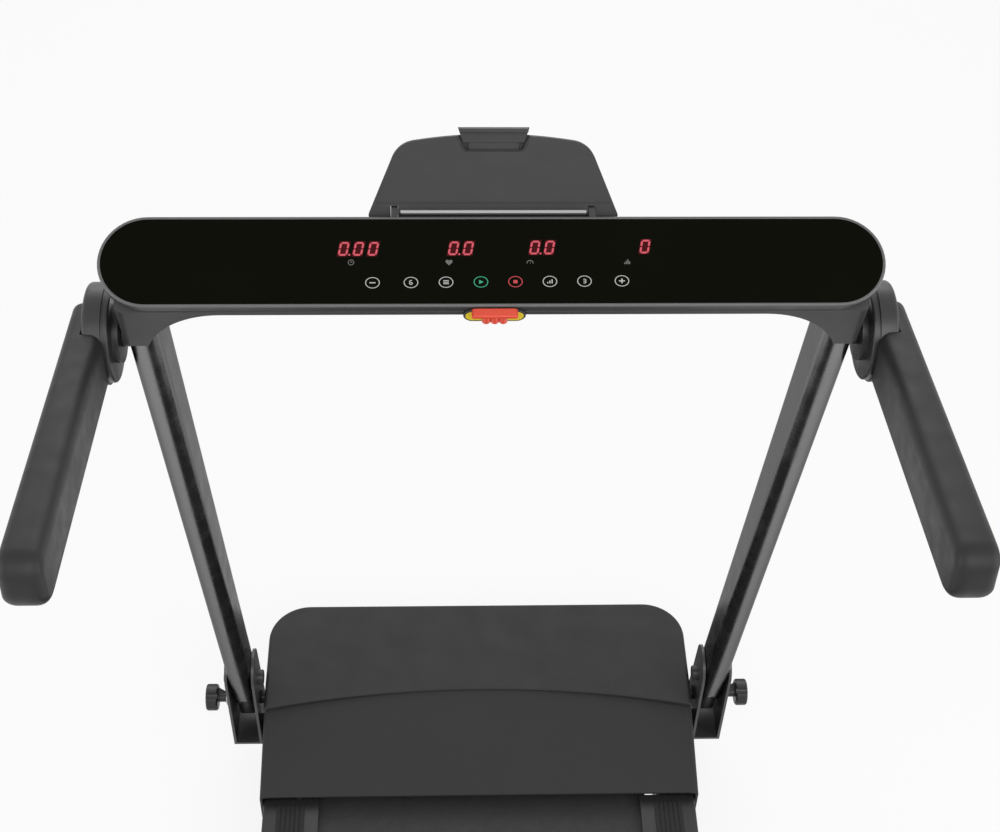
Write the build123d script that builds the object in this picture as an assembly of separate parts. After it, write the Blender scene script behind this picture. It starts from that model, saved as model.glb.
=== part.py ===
from build123d import *
from math import cos, radians, sin, sqrt
import os

# Flat-folding home treadmill
# X runs to the user's right, Y toward the motor end, Z up from the floor, all in millimetres
# The origin lies on the floor below the middle of the machine

# Clearances
running_gap = 0.05
sliding_gap = 0.3
wrap_gap = 0.3
joint_gap = 0.5
seat_gap = 0.2
washer_gap = 0.1

# Base sizes
total_length = 1400
foot_height = 20
foot_radius = 18
rail_width = 28
rail_height = 44
rail_wall = 2
rail_end_setback = 28
cross_height = 20
cross_width = 30
ledge_thickness = 3

# Deck sizes
belt_half_width = 215
belt_thickness = 1.7
board_margin = 20
board_thickness = 16
cushion_height = 8
cushion_radius = 10
cushion_count = 4
roller_radius = 20
roller_bore = 14
roller_margin = 3.5
axle_radius = 6
bearing_width = 8
front_roller_setback = 245
rear_roller_setback = 45
bracket_thickness = 6
foot_rail_rise = 7
foot_rail_overlap = 6
foot_rail_lip_gap = 2
foot_rail_wall = 3
grip_strip_width = 36
grip_strip_height = 1.6
rear_cap_length = 59
rear_cap_wall = 3
rear_cap_corner = 22
tension_bolt_radius = 4

# Motor bay sizes
cover_margin = 17
cover_top = 148
cover_bottom = 30
cover_wall = 3
cover_corner = 55
cover_edge = 5
cover_lip_rise = 22
cover_step = 3
cover_step_round = 2
cover_step_setback = 142
cover_step_sag = 16
cover_screw_radius = 2
cover_screw_head_radius = 4.4
cover_screw_head = 2
bay_floor_thickness = 2
motor_setback = 78
motor_radius = 40
motor_inset = 55
motor_length = 170
shaft_radius = 6
flywheel_radius = 38
flywheel_width = 28
pulley_width = 13.5
roller_pulley_radius = 32
motor_pulley_radius = 12
drive_belt_thickness = 2.7
drive_belt_width = 10
controller_inset = 40
controller_depth = 68
controller_base = 8
fin_count = 6
fin_margin = 6.5
fin_thickness = 2.4
fin_height = 28
controller_board = 2
filter_inset = 10
filter_width = 30
filter_height = 28
wheel_width = 18
wheel_inset = 27
wheel_floor_gap = 2.5
wheel_axle_radius = 4

# Mains panel sizes
panel_inset = 34
panel_width = 146
panel_height = 62
panel_thickness = 2.5
panel_row_rise = 36
inlet_offset = 40
switch_offset = 88
breaker_offset = 122
inlet_width = 27
inlet_height = 19.5
inlet_wall = 1.5
rocker_radius = 10
rocker_width = 12
rocker_tilt = 9
breaker_radius = 8
button_radius = 5
button_travel = 3

# Mast sizes
mast_lean = 13
pivot_setback = 135
pivot_height = 170
pivot_radius = 6
pivot_head_radius = 10
pivot_head = 7
pivot_nut = 5
pivot_thread_end = 1
pivot_washer_radius = 14
upright_margin = 27
upright_width = 29
upright_depth = 59
upright_corner = 13.5
upright_wall = 2
upright_bottom = 41
plug_inset = 4.5
plug_top = 60
yoke_gap = 1
yoke_thickness = 3.5
yoke_top = 53
yoke_round = 28
knob_drop = 70
knob_radius = 18
knob_thickness = 16
knob_lobes = 6
knob_neck_radius = 6.5
knob_stand_off = 21.3
knob_screw_radius = 5
knob_bush_radius = 12
knob_bush_length = 8
stop_head_radius = 9
stop_head = 5.5

# Console sizes
console_height = 922
console_back = 7.7
console_tilt = 13.5
tray_overhang = 31
tray_half_height = 42.2
tray_depth = 12
rim_width = 2.5
rim_chamfer = 1.2
glass_thickness = 3
board_pocket = 7
board_height = 46
circuit_thickness = 1.6
leg_drop = 73
leg_wall = 2.5
leg_front_wall = 1.8
leg_corner = 9
leg_bolt_radius = 4
arch_radius = 72
arch_into_leg = 15
beam_drop = 25
under_cover_margin = 3
under_cover_half_depth = 23
under_cover_thickness = 2.5
screw_radius = 1.5
key_width = 40
key_height = 12
key_depth = 8.4
key_rise = 13
key_plate = 2.5
key_flange = 4
key_corner = 3
key_ridge_radius = 4
key_ridge_pitch = 7.4
key_ridge_count = 3
key_boss_radius = 2.5
key_boss_rise = 4
socket_margin = 5.3
socket_height = 12.8
socket_hang = 5.3
socket_depth = 2.5

# Handle sizes
hub_drop = 100
hub_radius = 45
hub_stand_off = 9.5
hub_boss_radius = 27
hub_boss_height = 5.4
hub_disc_thickness = 8.6
hub_body_radius = 47
hub_body_width = 15
arm_drop = 19
handle_rise = 8.9
handle_length = 341
grip_lead = 17
grip_offset = 4.1
grip_width = 35.1
grip_depth = 58.5
grip_corner = 11
grip_nose = 20
grip_chin = 30
grip_heel = 12
core_width = 14
core_depth = 30
handle_bolt_radius = 8
handle_collar_radius = 12
handle_bolt_sink = 9
handle_head_radius = 13.5
handle_head = 6
handle_head_room = 1

# Tablet holder sizes
tablet_lean_back = 28
tablet_hinge_behind = 8.2
tablet_hinge_drop = 8
tablet_barrel_radius = 5
tablet_height = 68
tablet_crown = 7.8
tablet_base_half = 109
tablet_top_half = 83.5
tablet_corner = 24
tablet_thickness = 7
tablet_start = 5.7
tablet_wing_drop = 5.5
tablet_ledge_inset = 3
tablet_ledge_reach = 5.5
tablet_ledge_start = -1
tablet_ledge_thickness = 2.5
tablet_lip_height = 3.5
tablet_lip_thickness = 1.5
hinge_half_span = 84
hinge_ear_width = 6
hinge_pin_radius = 2
notch_depth = 13.5
notch_corner = 5
notch_back_wall = 1.6
notch_low_half = 27
notch_top_half = 31.5
clip_rise = 6
clip_lift = 6.8
clip_side_gap = 2.5
clip_stem_half = 22
clip_stem_thickness = 3
clip_stem_hold = 14
clip_travel = 22

# Stations along the machine
front_y = total_length / 2
rear_y = -total_length / 2
front_roller_y = front_y - front_roller_setback
rear_roller_y = rear_y + rear_roller_setback
pulley_reach = roller_pulley_radius + wrap_gap + drive_belt_thickness
board_front = front_roller_y - pulley_reach - 5
board_rear = rear_roller_y + roller_radius + 7
foot_rail_front = front_roller_y - pulley_reach + 4
cover_rear = foot_rail_front - 6
cap_front = rear_y + rear_cap_length
pivot_y = front_y - pivot_setback
motor_y = front_y - motor_setback
bay_rear = pivot_y - cross_width / 2
bay_front = front_y - 7
panel_front = front_y - cover_wall - 2.5

# Widths, counted out from the running belt
board_half_width = belt_half_width + board_margin
roller_half_length = belt_half_width + roller_margin
rail_x0 = board_half_width + 5
rail_x1 = rail_x0 + rail_width
rail_centre_x = (rail_x0 + rail_x1) / 2
ledge_x0 = belt_half_width + 1
cover_half_width = rail_x1 + cover_margin
cover_inner_x = cover_half_width - cover_wall
upright_centre_x = cover_half_width + upright_margin
upright_x0 = upright_centre_x - upright_width / 2
upright_x1 = upright_centre_x + upright_width / 2
plug_inner = upright_x0 + upright_wall + joint_gap
plug_outer = upright_x1 - upright_wall - joint_gap
yoke_in1 = upright_x0 - yoke_gap
yoke_in0 = yoke_in1 - yoke_thickness
yoke_out0 = upright_x1 + yoke_gap
yoke_out1 = yoke_out0 + yoke_thickness
tray_half_length = upright_centre_x + tray_overhang
motor_x0 = motor_inset - rail_x0
motor_x1 = motor_x0 + motor_length
panel_x1 = rail_x0 - panel_inset
panel_x0 = panel_x1 - panel_width
inlet_x = panel_x0 + inlet_offset
switch_x = panel_x0 + switch_offset
breaker_x = panel_x0 + breaker_offset

# Heights, counted up from the floor
rail_top = foot_height + rail_height
cross_top = foot_height + cross_height
floor_top = cross_top + bay_floor_thickness
board_bottom = rail_top + cushion_height
board_top = board_bottom + board_thickness
roller_z = board_top - roller_radius
belt_inside = roller_radius + wrap_gap
belt_outside = belt_inside + belt_thickness
belt_top = roller_z + belt_outside
foot_rail_top = belt_top + foot_rail_rise
cover_lip_top = belt_top + cover_lip_rise
motor_height = (floor_top + cover_top - cover_wall) / 2 + 2.5
panel_row_z = cross_top + panel_row_rise

# Heights along the mast, counted up from the pivot
beam_bottom = console_height - beam_drop
leg_end = console_height - leg_drop
upright_top = beam_bottom - 2
hub_height = console_height - hub_drop
key_boss_z = beam_bottom + key_boss_rise
plug_bottom = knob_drop + 20


def block(x0, x1, y0, y1, z0, z1):
    return Pos((x0 + x1) / 2, (y0 + y1) / 2, (z0 + z1) / 2) * Box(x1 - x0, y1 - y0, z1 - z0)


def rod_x(radius, x0, x1, y, z):
    return Pos((x0 + x1) / 2, y, z) * Rot(0, 90, 0) * Cylinder(radius, x1 - x0)


def rod_y(radius, y0, y1, x, z):
    return Pos(x, (y0 + y1) / 2, z) * Rot(90, 0, 0) * Cylinder(radius, y1 - y0)


def rod_z(radius, z0, z1, x, y):
    return Pos(x, y, (z0 + z1) / 2) * Cylinder(radius, z1 - z0)


def ring_x(outer, inner, x0, x1, y, z):
    return rod_x(outer, x0, x1, y, z) - rod_x(inner, x0 - 1, x1 + 1, y, z)


def mirrored(shape):
    return mirror(shape, Plane.YZ)


def group(*shapes):
    return Compound([solid for shape in shapes for solid in shape.solids()])


def loop_x(y_a, z_a, radius_a, y_b, z_b, radius_b, x0, x1):
    circle_a = Pos(y_a, z_a) * Circle(radius_a)
    circle_b = Pos(y_b, z_b) * Circle(radius_b)
    return extrude(Plane.YZ.offset(x0) * make_hull((circle_a + circle_b).edges()), x1 - x0)


nodes = {}

# Base frame
# Each side rail is a box tube with an inner ledge for the board and outer tabs for the motor cover
rail_rear = rear_y + rail_end_setback
rail_front = front_y - cover_wall - cover_corner * 0.4
tab_length = 16
tab_stations = (cover_rear + 40, front_y - 70)
tab_z = foot_height + rail_height / 2
stub_half = cross_width / 2
rail = block(rail_x0, rail_x1, rail_rear, rail_front, foot_height, rail_top)
rail -= block(rail_x0 + rail_wall, rail_x1 - rail_wall, rail_rear - 1, rail_front + 1,
              foot_height + rail_wall, rail_top - rail_wall)
rail += block(ledge_x0, rail_x0, board_rear, board_front, rail_top - ledge_thickness, rail_top)
for station in tab_stations:
    rail += block(rail_x1, cover_inner_x, station - tab_length / 2, station + tab_length / 2,
                  tab_z - 8, tab_z + 8)
    rail -= rod_x(cover_screw_radius, rail_x1 + 3, cover_inner_x + 1, station, tab_z)
nodes["frame_rail_right"] = rail
nodes["frame_rail_left"] = mirrored(rail)

# Cross-members are tubes that butt against the rails below the lower run of the belt
middle_cross_y = board_rear + (board_front - board_rear) * 0.68
front_cross_y = bay_front - cross_width / 2
cross_stations = (rear_roller_y + 60, middle_cross_y, pivot_y, front_cross_y)
cross_half = cross_width / 2
crossmembers = []
for y in cross_stations:
    tube = block(-rail_x0, rail_x0, y - cross_half, y + cross_half, foot_height, cross_top)
    tube -= block(-rail_x0 - 1, rail_x0 + 1, y - cross_half + rail_wall, y + cross_half - rail_wall,
                  foot_height + rail_wall, cross_top - rail_wall)
    crossmembers.append(tube)
nodes["frame_crossmembers"] = group(*crossmembers)

# Yokes
# A stub on the rail carries two plates and a web, a threaded bush on the outer plate takes the knob
yoke_base = rail_top - 6
top_centre_y = pivot_y - (yoke_top - yoke_round) * sin(radians(mast_lean))
top_centre_z = pivot_height + (yoke_top - yoke_round) * cos(radians(mast_lean))
knob_y = pivot_y + knob_drop * sin(radians(mast_lean))
knob_z = pivot_height - knob_drop * cos(radians(mast_lean))
yoke_y0 = pivot_y - stub_half - 16
yoke_y1 = knob_y + 26


def yoke_plate(x0, x1):
    top = Pos(top_centre_y, top_centre_z) * Circle(yoke_round)
    low = Pos((yoke_y0 + yoke_y1) / 2, yoke_base + 10) * Rectangle(yoke_y1 - yoke_y0, 20)
    return extrude(Plane.YZ.offset(x0) * make_hull((top + low).edges()), x1 - x0)


yoke = yoke_plate(yoke_in0, yoke_in1) + yoke_plate(yoke_out0, yoke_out1)
yoke += block(yoke_in0, yoke_out1, yoke_y0, yoke_y1, yoke_base, yoke_base + yoke_thickness)
yoke += block(rail_x1, yoke_in0, pivot_y - stub_half, pivot_y + stub_half, foot_height, rail_top)
yoke -= rod_x(pivot_radius + running_gap, yoke_in0 - 1, yoke_out1 + 1, pivot_y, pivot_height)
bush_end = yoke_out1 + knob_bush_length
yoke += rod_x(knob_bush_radius, yoke_out0, bush_end, knob_y, knob_z)
yoke -= rod_x(knob_screw_radius + sliding_gap, yoke_out0 - 1, bush_end + 1, knob_y, knob_z)
yoke -= rod_x(knob_screw_radius + running_gap, yoke_in0 - 1, yoke_in1 + 1, knob_y, knob_z)
nodes["upright_yoke_right"] = yoke
nodes["upright_yoke_left"] = mirrored(yoke)

# Pivot bolts with a head inside and a nut outside, and washers beside each upright
# A stop bolt below each one backs the upright's plug against the clamping screw
bolt_in = yoke_in0 - pivot_head
bolt_out = yoke_out1 + pivot_nut
pivot_bolt = rod_x(pivot_radius, bolt_in, bolt_out + pivot_thread_end, pivot_y, pivot_height)
pivot_bolt += rod_x(pivot_head_radius, bolt_in, yoke_in0, pivot_y, pivot_height)
pivot_bolt += rod_x(pivot_head_radius, yoke_out1, bolt_out, pivot_y, pivot_height)
washer_hole = pivot_radius + running_gap
washer_in = ring_x(pivot_washer_radius, washer_hole, yoke_in1, upright_x0 - washer_gap,
                   pivot_y, pivot_height)
washer_out = ring_x(pivot_washer_radius, washer_hole, upright_x1 + washer_gap, yoke_out0,
                    pivot_y, pivot_height)
stop_bolt = rod_x(knob_screw_radius, yoke_in0 - stop_head, plug_inner - sliding_gap, knob_y, knob_z)
stop_bolt += rod_x(stop_head_radius, yoke_in0 - stop_head, yoke_in0, knob_y, knob_z)
pivot_set = group(pivot_bolt, washer_in, washer_out, stop_bolt)
nodes["mast_pivot_bolts"] = group(pivot_set, mirrored(pivot_set))

# Clamping knobs
# The screw runs in the bush and presses on the upright's plug
knob_inner = yoke_out1 + knob_stand_off
knob_reach = knob_inner + knob_thickness
knob = rod_x(knob_radius, knob_inner, knob_reach, knob_y, knob_z)
knob = fillet(knob.edges().filter_by(GeomType.CIRCLE), 3)
lobe_cut = 5
for index in range(knob_lobes):
    angle = radians(360 * index / knob_lobes)
    cut_y = knob_y + (knob_radius + 2) * cos(angle)
    cut_z = knob_z + (knob_radius + 2) * sin(angle)
    knob -= rod_x(lobe_cut, knob_inner - 1, knob_reach + 1, cut_y, cut_z)
knob += rod_x(knob_neck_radius, bush_end + sliding_gap, knob_inner, knob_y, knob_z)
knob += rod_x(knob_screw_radius, plug_outer + sliding_gap, knob_inner, knob_y, knob_z)
nodes["lock_knob_right"] = knob
nodes["lock_knob_left"] = mirrored(knob)

# Deck
nodes["deck_board"] = block(-board_half_width, board_half_width, board_rear, board_front,
                            board_bottom, board_top)
cushion_x = (ledge_x0 + board_half_width) / 2
cushion_step = (board_front - board_rear - 120) / (cushion_count - 1)
cushions = []
for index in range(cushion_count):
    cushion_y = board_rear + 60 + cushion_step * index
    for x in (-cushion_x, cushion_x):
        cushions.append(rod_z(cushion_radius, rail_top, board_bottom, x, cushion_y))
nodes["deck_cushions"] = group(*cushions)

# Running belt and its rollers
belt = loop_x(front_roller_y, roller_z, belt_outside, rear_roller_y, roller_z, belt_outside,
              -belt_half_width, belt_half_width)
belt -= loop_x(front_roller_y, roller_z, belt_inside, rear_roller_y, roller_z, belt_inside,
               -belt_half_width - 1, belt_half_width + 1)
nodes["running_belt"] = belt
front_roller = ring_x(roller_radius, roller_bore + running_gap, -roller_half_length, roller_half_length,
                      front_roller_y, roller_z)
rear_roller = ring_x(roller_radius, roller_bore + running_gap, -roller_half_length, roller_half_length,
                     rear_roller_y, roller_z)
nodes["front_roller"] = front_roller
nodes["rear_roller"] = rear_roller
pulley_x1 = -roller_half_length
pulley_x0 = pulley_x1 - pulley_width
nodes["roller_pulley"] = ring_x(roller_pulley_radius, axle_radius + joint_gap, pulley_x0, pulley_x1,
                                front_roller_y, roller_z)
bearings = []
for y in (front_roller_y, rear_roller_y):
    for x in (-roller_half_length + 2, roller_half_length - 2 - bearing_width):
        bearings.append(ring_x(roller_bore, axle_radius + running_gap, x, x + bearing_width, y, roller_z))
nodes["roller_bearings"] = group(*bearings)

# Axles end in the brackets, the rear one is drawn back by a bolt at each end
axle_end = rail_x0 - 2
bracket_x0 = rail_x0 - bracket_thickness
bolt_x = bracket_x0 - tension_bolt_radius - 2
flange_rear = rear_y + 14
tension_bolt = rod_y(tension_bolt_radius, rear_y + 4, rear_roller_y + 12, bolt_x, roller_z)
tension_bolt += rod_y(tension_bolt_radius + 3, rear_y + 4, flange_rear, bolt_x, roller_z)
nodes["tension_bolts"] = group(tension_bolt, mirrored(tension_bolt))
front_axle = rod_x(axle_radius, -axle_end, axle_end, front_roller_y, roller_z)
rear_axle = rod_x(axle_radius, -axle_end, axle_end, rear_roller_y, roller_z)
for x in (-bolt_x, bolt_x):
    rear_axle -= rod_y(tension_bolt_radius + running_gap, rear_roller_y - 20, rear_roller_y + 20, x, roller_z)
nodes["roller_axles"] = group(front_axle, rear_axle)
bracket_half = 18
front_bracket = block(bracket_x0, rail_x0, front_roller_y - bracket_half, front_roller_y + bracket_half,
                      cross_top, roller_z + bracket_half)
front_bracket -= rod_x(axle_radius + running_gap, bracket_x0 - 1, rail_x0 + 1, front_roller_y, roller_z)
rear_bracket = block(bracket_x0, rail_x0, flange_rear, rear_roller_y + bracket_half,
                     cross_top, roller_z + bracket_half)
rear_bracket -= rod_x(axle_radius + running_gap, bracket_x0 - 1, rail_x0 + 1, rear_roller_y, roller_z)
rear_bracket += block(bolt_x - tension_bolt_radius - 3, rail_x0, flange_rear, flange_rear + 4,
                      roller_z - 12, roller_z + 12)
rear_bracket -= rod_y(tension_bolt_radius + sliding_gap, flange_rear - 1, flange_rear + 5, bolt_x, roller_z)
nodes["roller_brackets"] = group(front_bracket, mirrored(front_bracket), rear_bracket, mirrored(rear_bracket))

# Foot rails
# A ribbed profile stands on each side rail and reaches in over the edge of the belt
foot_rail_x0 = belt_half_width - foot_rail_overlap
foot_rail_x1 = cover_inner_x - 1
foot_rail_rear = cap_front + joint_gap
foot_rail = block(foot_rail_x0, foot_rail_x1, foot_rail_rear, foot_rail_front,
                  foot_rail_top - foot_rail_wall, foot_rail_top)
foot_rail += block(foot_rail_x1 - foot_rail_wall, foot_rail_x1, foot_rail_rear, foot_rail_front,
                   foot_height + 4, foot_rail_top)
foot_rail += block(foot_rail_x0, foot_rail_x0 + 2, foot_rail_rear, foot_rail_front,
                   belt_top + foot_rail_lip_gap, foot_rail_top)
for x in (rail_x0 + 5, rail_x1 - 5):
    foot_rail += block(x - 1.5, x + 1.5, foot_rail_rear, foot_rail_front, rail_top, foot_rail_top - 1)
rail_edge = foot_rail.edges().filter_by(Axis.Y).group_by(Axis.Z)[-1].sort_by(Axis.X)[-1]
foot_rail = fillet(rail_edge, foot_rail_wall - 0.5)
nodes["foot_rail_right"] = foot_rail
nodes["foot_rail_left"] = mirrored(foot_rail)
strip_x = (foot_rail_x0 + foot_rail_x1) / 2
strip = block(strip_x - grip_strip_width / 2, strip_x + grip_strip_width / 2, foot_rail_rear + 10,
              cover_rear - 6, foot_rail_top, foot_rail_top + grip_strip_height)
groove_count = 5
for index in range(groove_count):
    groove_x = strip_x + grip_strip_width * ((index + 1) / (groove_count + 1) - 0.5)
    strip -= block(groove_x - 1, groove_x + 1, rear_y, front_y, foot_rail_top + 0.8, foot_rail_top + 5)
nodes["foot_grips"] = group(strip, mirrored(strip))

# Rear end caps, each a shell open toward the foot rail with a boss against the rail's end
cap_x0 = belt_half_width + 4.5
cap_bottom = foot_height - 8
cap_top = foot_rail_top + 1
cap = block(cap_x0, cover_half_width, rear_y, cap_front, cap_bottom, cap_top)
cap = fillet(cap.edges().filter_by(Axis.Z).group_by(Axis.Y)[0].sort_by(Axis.X)[-1], rear_cap_corner)
cap = fillet(cap.faces().sort_by(Axis.Z)[-1].edges().sort_by(Axis.Y)[:-1], 2.5)
cap_hollow = block(cap_x0 + rear_cap_wall, cover_half_width - rear_cap_wall, rear_y + rear_cap_wall,
                   cap_front + 1, cap_bottom + rear_cap_wall, cap_top - rear_cap_wall)
cap_hollow = fillet(cap_hollow.edges().filter_by(Axis.Z).group_by(Axis.Y)[0].sort_by(Axis.X)[-1],
                    rear_cap_corner - rear_cap_wall)
cap -= cap_hollow
cap -= block(cap_x0 - 1, cap_x0 + rear_cap_wall + 1, rear_roller_y - axle_radius - 2, cap_front + 1,
             roller_z - axle_radius - 2, roller_z + axle_radius + 2)
cap -= rod_y(tension_bolt_radius + 4.5, rear_y - 1, rear_y + rear_cap_wall + 1, bolt_x, roller_z)
cap -= block(bolt_x - tension_bolt_radius - 3.5, bolt_x + 8, rear_y + 3.5, cap_front,
             roller_z - 12.5, roller_z + 12.5)
cap += block(rail_x0 + 4, rail_x1 - 4, rear_y + rear_cap_wall - 1, rail_rear, foot_height + 4, rail_top - 4)
nodes["rear_caps"] = group(cap, mirrored(cap))

# Rubber feet
foot_stations = (cap_front + foot_radius + 6, front_y - 150)
feet = []
for y in foot_stations:
    for x in (-rail_centre_x, rail_centre_x):
        feet.append(rod_z(foot_radius, 0, foot_height, x, y))
nodes["rubber_feet"] = group(*[chamfer(foot.edges().group_by(Axis.Z)[0], 1.5) for foot in feet])

# Motor cover
# The flat top ends at a curved step, behind it an apron slopes down to the belt
step_y = front_y - cover_step_setback
step_radius = (belt_half_width ** 2 + cover_step_sag ** 2) / (2 * cover_step_sag)
apron_run = step_y - cover_rear
apron_rise = cover_top - cover_step - cover_lip_top
apron_length = sqrt(apron_run ** 2 + apron_rise ** 2)


def cover_front(inset):
    half = cover_half_width - inset
    body = block(-half, half, cover_rear, front_y - inset, cover_bottom - inset, cover_top - inset)
    body = fillet(body.edges().filter_by(Axis.Z).group_by(Axis.Y)[-1], cover_corner - inset)
    return body - rod_z(step_radius + inset, 0, cover_top + 1, 0, step_y - step_radius)


def cover_apron(inset, rear_extra):
    half = cover_half_width - inset
    front = step_y + inset + 1
    drop = inset * apron_length / apron_run

    def roof(y):
        return cover_lip_top + apron_rise / apron_run * (y - cover_rear) - drop

    rear = cover_rear - rear_extra
    floor = cover_bottom - inset
    profile = Polygon((rear, floor), (front, floor), (front, roof(front)), (rear, roof(rear)), align=None)
    return extrude(Plane.YZ.offset(-half) * profile, 2 * half)


front_part = cover_front(0)
top_edges = front_part.faces().sort_by(Axis.Z)[-1].edges().sort_by(Axis.Y)
front_part = fillet(top_edges[1:], cover_edge)
step_edge = front_part.faces().sort_by(Axis.Z)[-1].edges().sort_by(Axis.Y)[0]
front_part = fillet(step_edge, cover_step_round)
apron = cover_apron(0, 0)
apron_sides = apron.faces().sort_by(Axis.Z)[-1].edges().filter_by(Axis.X, reverse=True)
apron = fillet(apron_sides, cover_edge)
cover = front_part + apron - cover_front(cover_wall) - cover_apron(cover_wall, 1)
for side in (-1, 1):
    notch_x0 = min(side * (cover_inner_x - 1), side * (cover_half_width + 1))
    notch_x1 = max(side * (cover_inner_x - 1), side * (cover_half_width + 1))
    cover -= block(notch_x0, notch_x1, pivot_y - stub_half - 2, pivot_y + stub_half + 2, 0, rail_top + 2)
    for station in tab_stations:
        cover -= rod_x(cover_screw_radius + 0.2, notch_x0, notch_x1, station, tab_z)
panel_window = (panel_x0 + 8, panel_x1 - 8, panel_row_z - 18, panel_row_z + 18)
cover -= block(panel_window[0], panel_window[1], front_y - cover_wall - 1, front_y + 1,
               panel_window[2], panel_window[3])
nodes["motor_cover"] = cover
cover_screws = []
for station in tab_stations:
    screw = rod_x(cover_screw_radius, rail_x1 + 4, cover_half_width, station, tab_z)
    screw += rod_x(cover_screw_head_radius, cover_half_width, cover_half_width + cover_screw_head,
                   station, tab_z)
    cover_screws += [screw, mirrored(screw)]
nodes["cover_screws"] = group(*cover_screws)

# Motor with its rotor, pulley and flywheel
can = rod_x(motor_radius, motor_x0, motor_x1, motor_y, motor_height)
can = fillet(can.edges().filter_by(GeomType.CIRCLE), 4)
can -= rod_x(shaft_radius + running_gap, motor_x0 - 1, motor_x1 + 1, motor_y, motor_height)
nodes["motor_can"] = can
saddle = block(motor_x0 + 30, motor_x1 - 30, motor_y - motor_radius * 0.8, motor_y + motor_radius * 0.8,
               floor_top, motor_height - motor_radius * 0.55)
saddle -= rod_x(motor_radius + running_gap, motor_x0, motor_x1, motor_y, motor_height)
nodes["motor_saddle"] = saddle
motor_pulley_x0 = pulley_x0 + (pulley_width - drive_belt_width) / 2 - 1
motor_pulley_x1 = motor_pulley_x0 + drive_belt_width + 2
flywheel_x0 = motor_x1 + 8
shaft = rod_x(shaft_radius, motor_pulley_x0, flywheel_x0 + flywheel_width, motor_y, motor_height)
nodes["motor_shaft"] = shaft
nodes["motor_pulley"] = ring_x(motor_pulley_radius, shaft_radius, motor_pulley_x0, motor_pulley_x1,
                               motor_y, motor_height)
nodes["flywheel"] = ring_x(flywheel_radius, shaft_radius, flywheel_x0, flywheel_x0 + flywheel_width,
                           motor_y, motor_height)
drive_inner_roller = roller_pulley_radius + wrap_gap
drive_inner_motor = motor_pulley_radius + wrap_gap
drive_x0 = motor_pulley_x0 + 1
drive_x1 = drive_x0 + drive_belt_width
drive = loop_x(front_roller_y, roller_z, drive_inner_roller + drive_belt_thickness,
               motor_y, motor_height, drive_inner_motor + drive_belt_thickness, drive_x0, drive_x1)
drive -= loop_x(front_roller_y, roller_z, drive_inner_roller, motor_y, motor_height, drive_inner_motor,
                drive_x0 - 1, drive_x1 + 1)
nodes["drive_belt"] = drive

# Motor controller, a finned heat sink under a circuit board with a filter block on it
controller_x0 = flywheel_x0 + flywheel_width + controller_inset
controller_x1 = rail_x0 - controller_inset
controller_y0 = motor_y - controller_depth / 2
controller_y1 = motor_y + controller_depth / 2
board_z0 = floor_top + fin_height - 1
board_z1 = board_z0 + controller_board
controller = block(controller_x0, controller_x1, controller_y0, controller_y1,
                   floor_top, floor_top + controller_base)
fin_step = (controller_depth - 2 * fin_margin) / (fin_count - 1)
for index in range(fin_count):
    fin_y = controller_y0 + fin_margin + index * fin_step
    controller += block(controller_x0 + 4, controller_x1 - 4, fin_y - fin_thickness / 2,
                        fin_y + fin_thickness / 2, floor_top, floor_top + fin_height)
controller += block(controller_x0, controller_x1, controller_y0, controller_y1, board_z0, board_z1)
filter_x0 = controller_x0 + filter_inset
filter_y0 = controller_y0 + filter_inset
controller += block(filter_x0, filter_x0 + filter_width, filter_y0, filter_y0 + filter_width,
                    board_z1 - 1, board_z1 + filter_height)
nodes["motor_controller"] = controller

# Motor bay floor on the two front cross-members, with forks under it for the transport wheels
wheel_x = rail_x0 - wheel_inset
wheel_y = (pivot_y + front_cross_y) / 2
wheel_radius = (cross_top - 2 * wheel_floor_gap) / 2
wheel_z = wheel_floor_gap + wheel_radius
fork_gap = wheel_width / 2 + 1
fork_plate = 4
axle_reach = fork_gap + fork_plate + 1.5
bay_floor = block(-rail_x0, rail_x0, bay_rear, bay_front, cross_top, floor_top)
wheel_axles = []
for side in (-1, 1):
    middle = side * wheel_x
    for x in (middle - fork_gap - fork_plate, middle + fork_gap):
        bay_floor += block(x, x + fork_plate, wheel_y - 11, wheel_y + 11, wheel_z - 10, cross_top)
    axle_x0 = middle - axle_reach
    axle_x1 = middle + axle_reach
    bay_floor -= rod_x(wheel_axle_radius + running_gap, axle_x0, axle_x1, wheel_y, wheel_z)
    wheel_axles.append(rod_x(wheel_axle_radius, axle_x0, axle_x1, wheel_y, wheel_z))
nodes["motor_bay_floor"] = bay_floor
nodes["wheel_axles"] = group(*wheel_axles)
wheel_x0 = wheel_x - wheel_width / 2
wheel_x1 = wheel_x + wheel_width / 2
wheel = rod_x(wheel_radius, wheel_x0, wheel_x1, wheel_y, wheel_z)
wheel = fillet(wheel.edges().filter_by(GeomType.CIRCLE), 2.5)
wheel -= rod_x(wheel_axle_radius + running_gap, wheel_x0 - 1, wheel_x1 + 1, wheel_y, wheel_z)
nodes["transport_wheel_right"] = wheel
nodes["transport_wheel_left"] = mirrored(wheel)

# Mains panel at the front of the bay, reached through a window in the cover
panel = block(panel_x0, panel_x1, panel_front - panel_thickness, panel_front,
              floor_top, floor_top + panel_height)
inlet_half_w = inlet_width / 2
inlet_half_h = inlet_height / 2
panel -= block(inlet_x - inlet_half_w, inlet_x + inlet_half_w, panel_front - 9, panel_front + 1,
               panel_row_z - inlet_half_h, panel_row_z + inlet_half_h)
switch_half_w = rocker_width / 2 + 2.5
switch_half_h = rocker_radius + 2.5
panel -= block(switch_x - switch_half_w, switch_x + switch_half_w, panel_front - 9, panel_front + 1,
               panel_row_z - switch_half_h, panel_row_z + switch_half_h)
panel -= rod_y(breaker_radius, panel_front - 9, panel_front + 1, breaker_x, panel_row_z)
nodes["power_panel"] = panel

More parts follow.
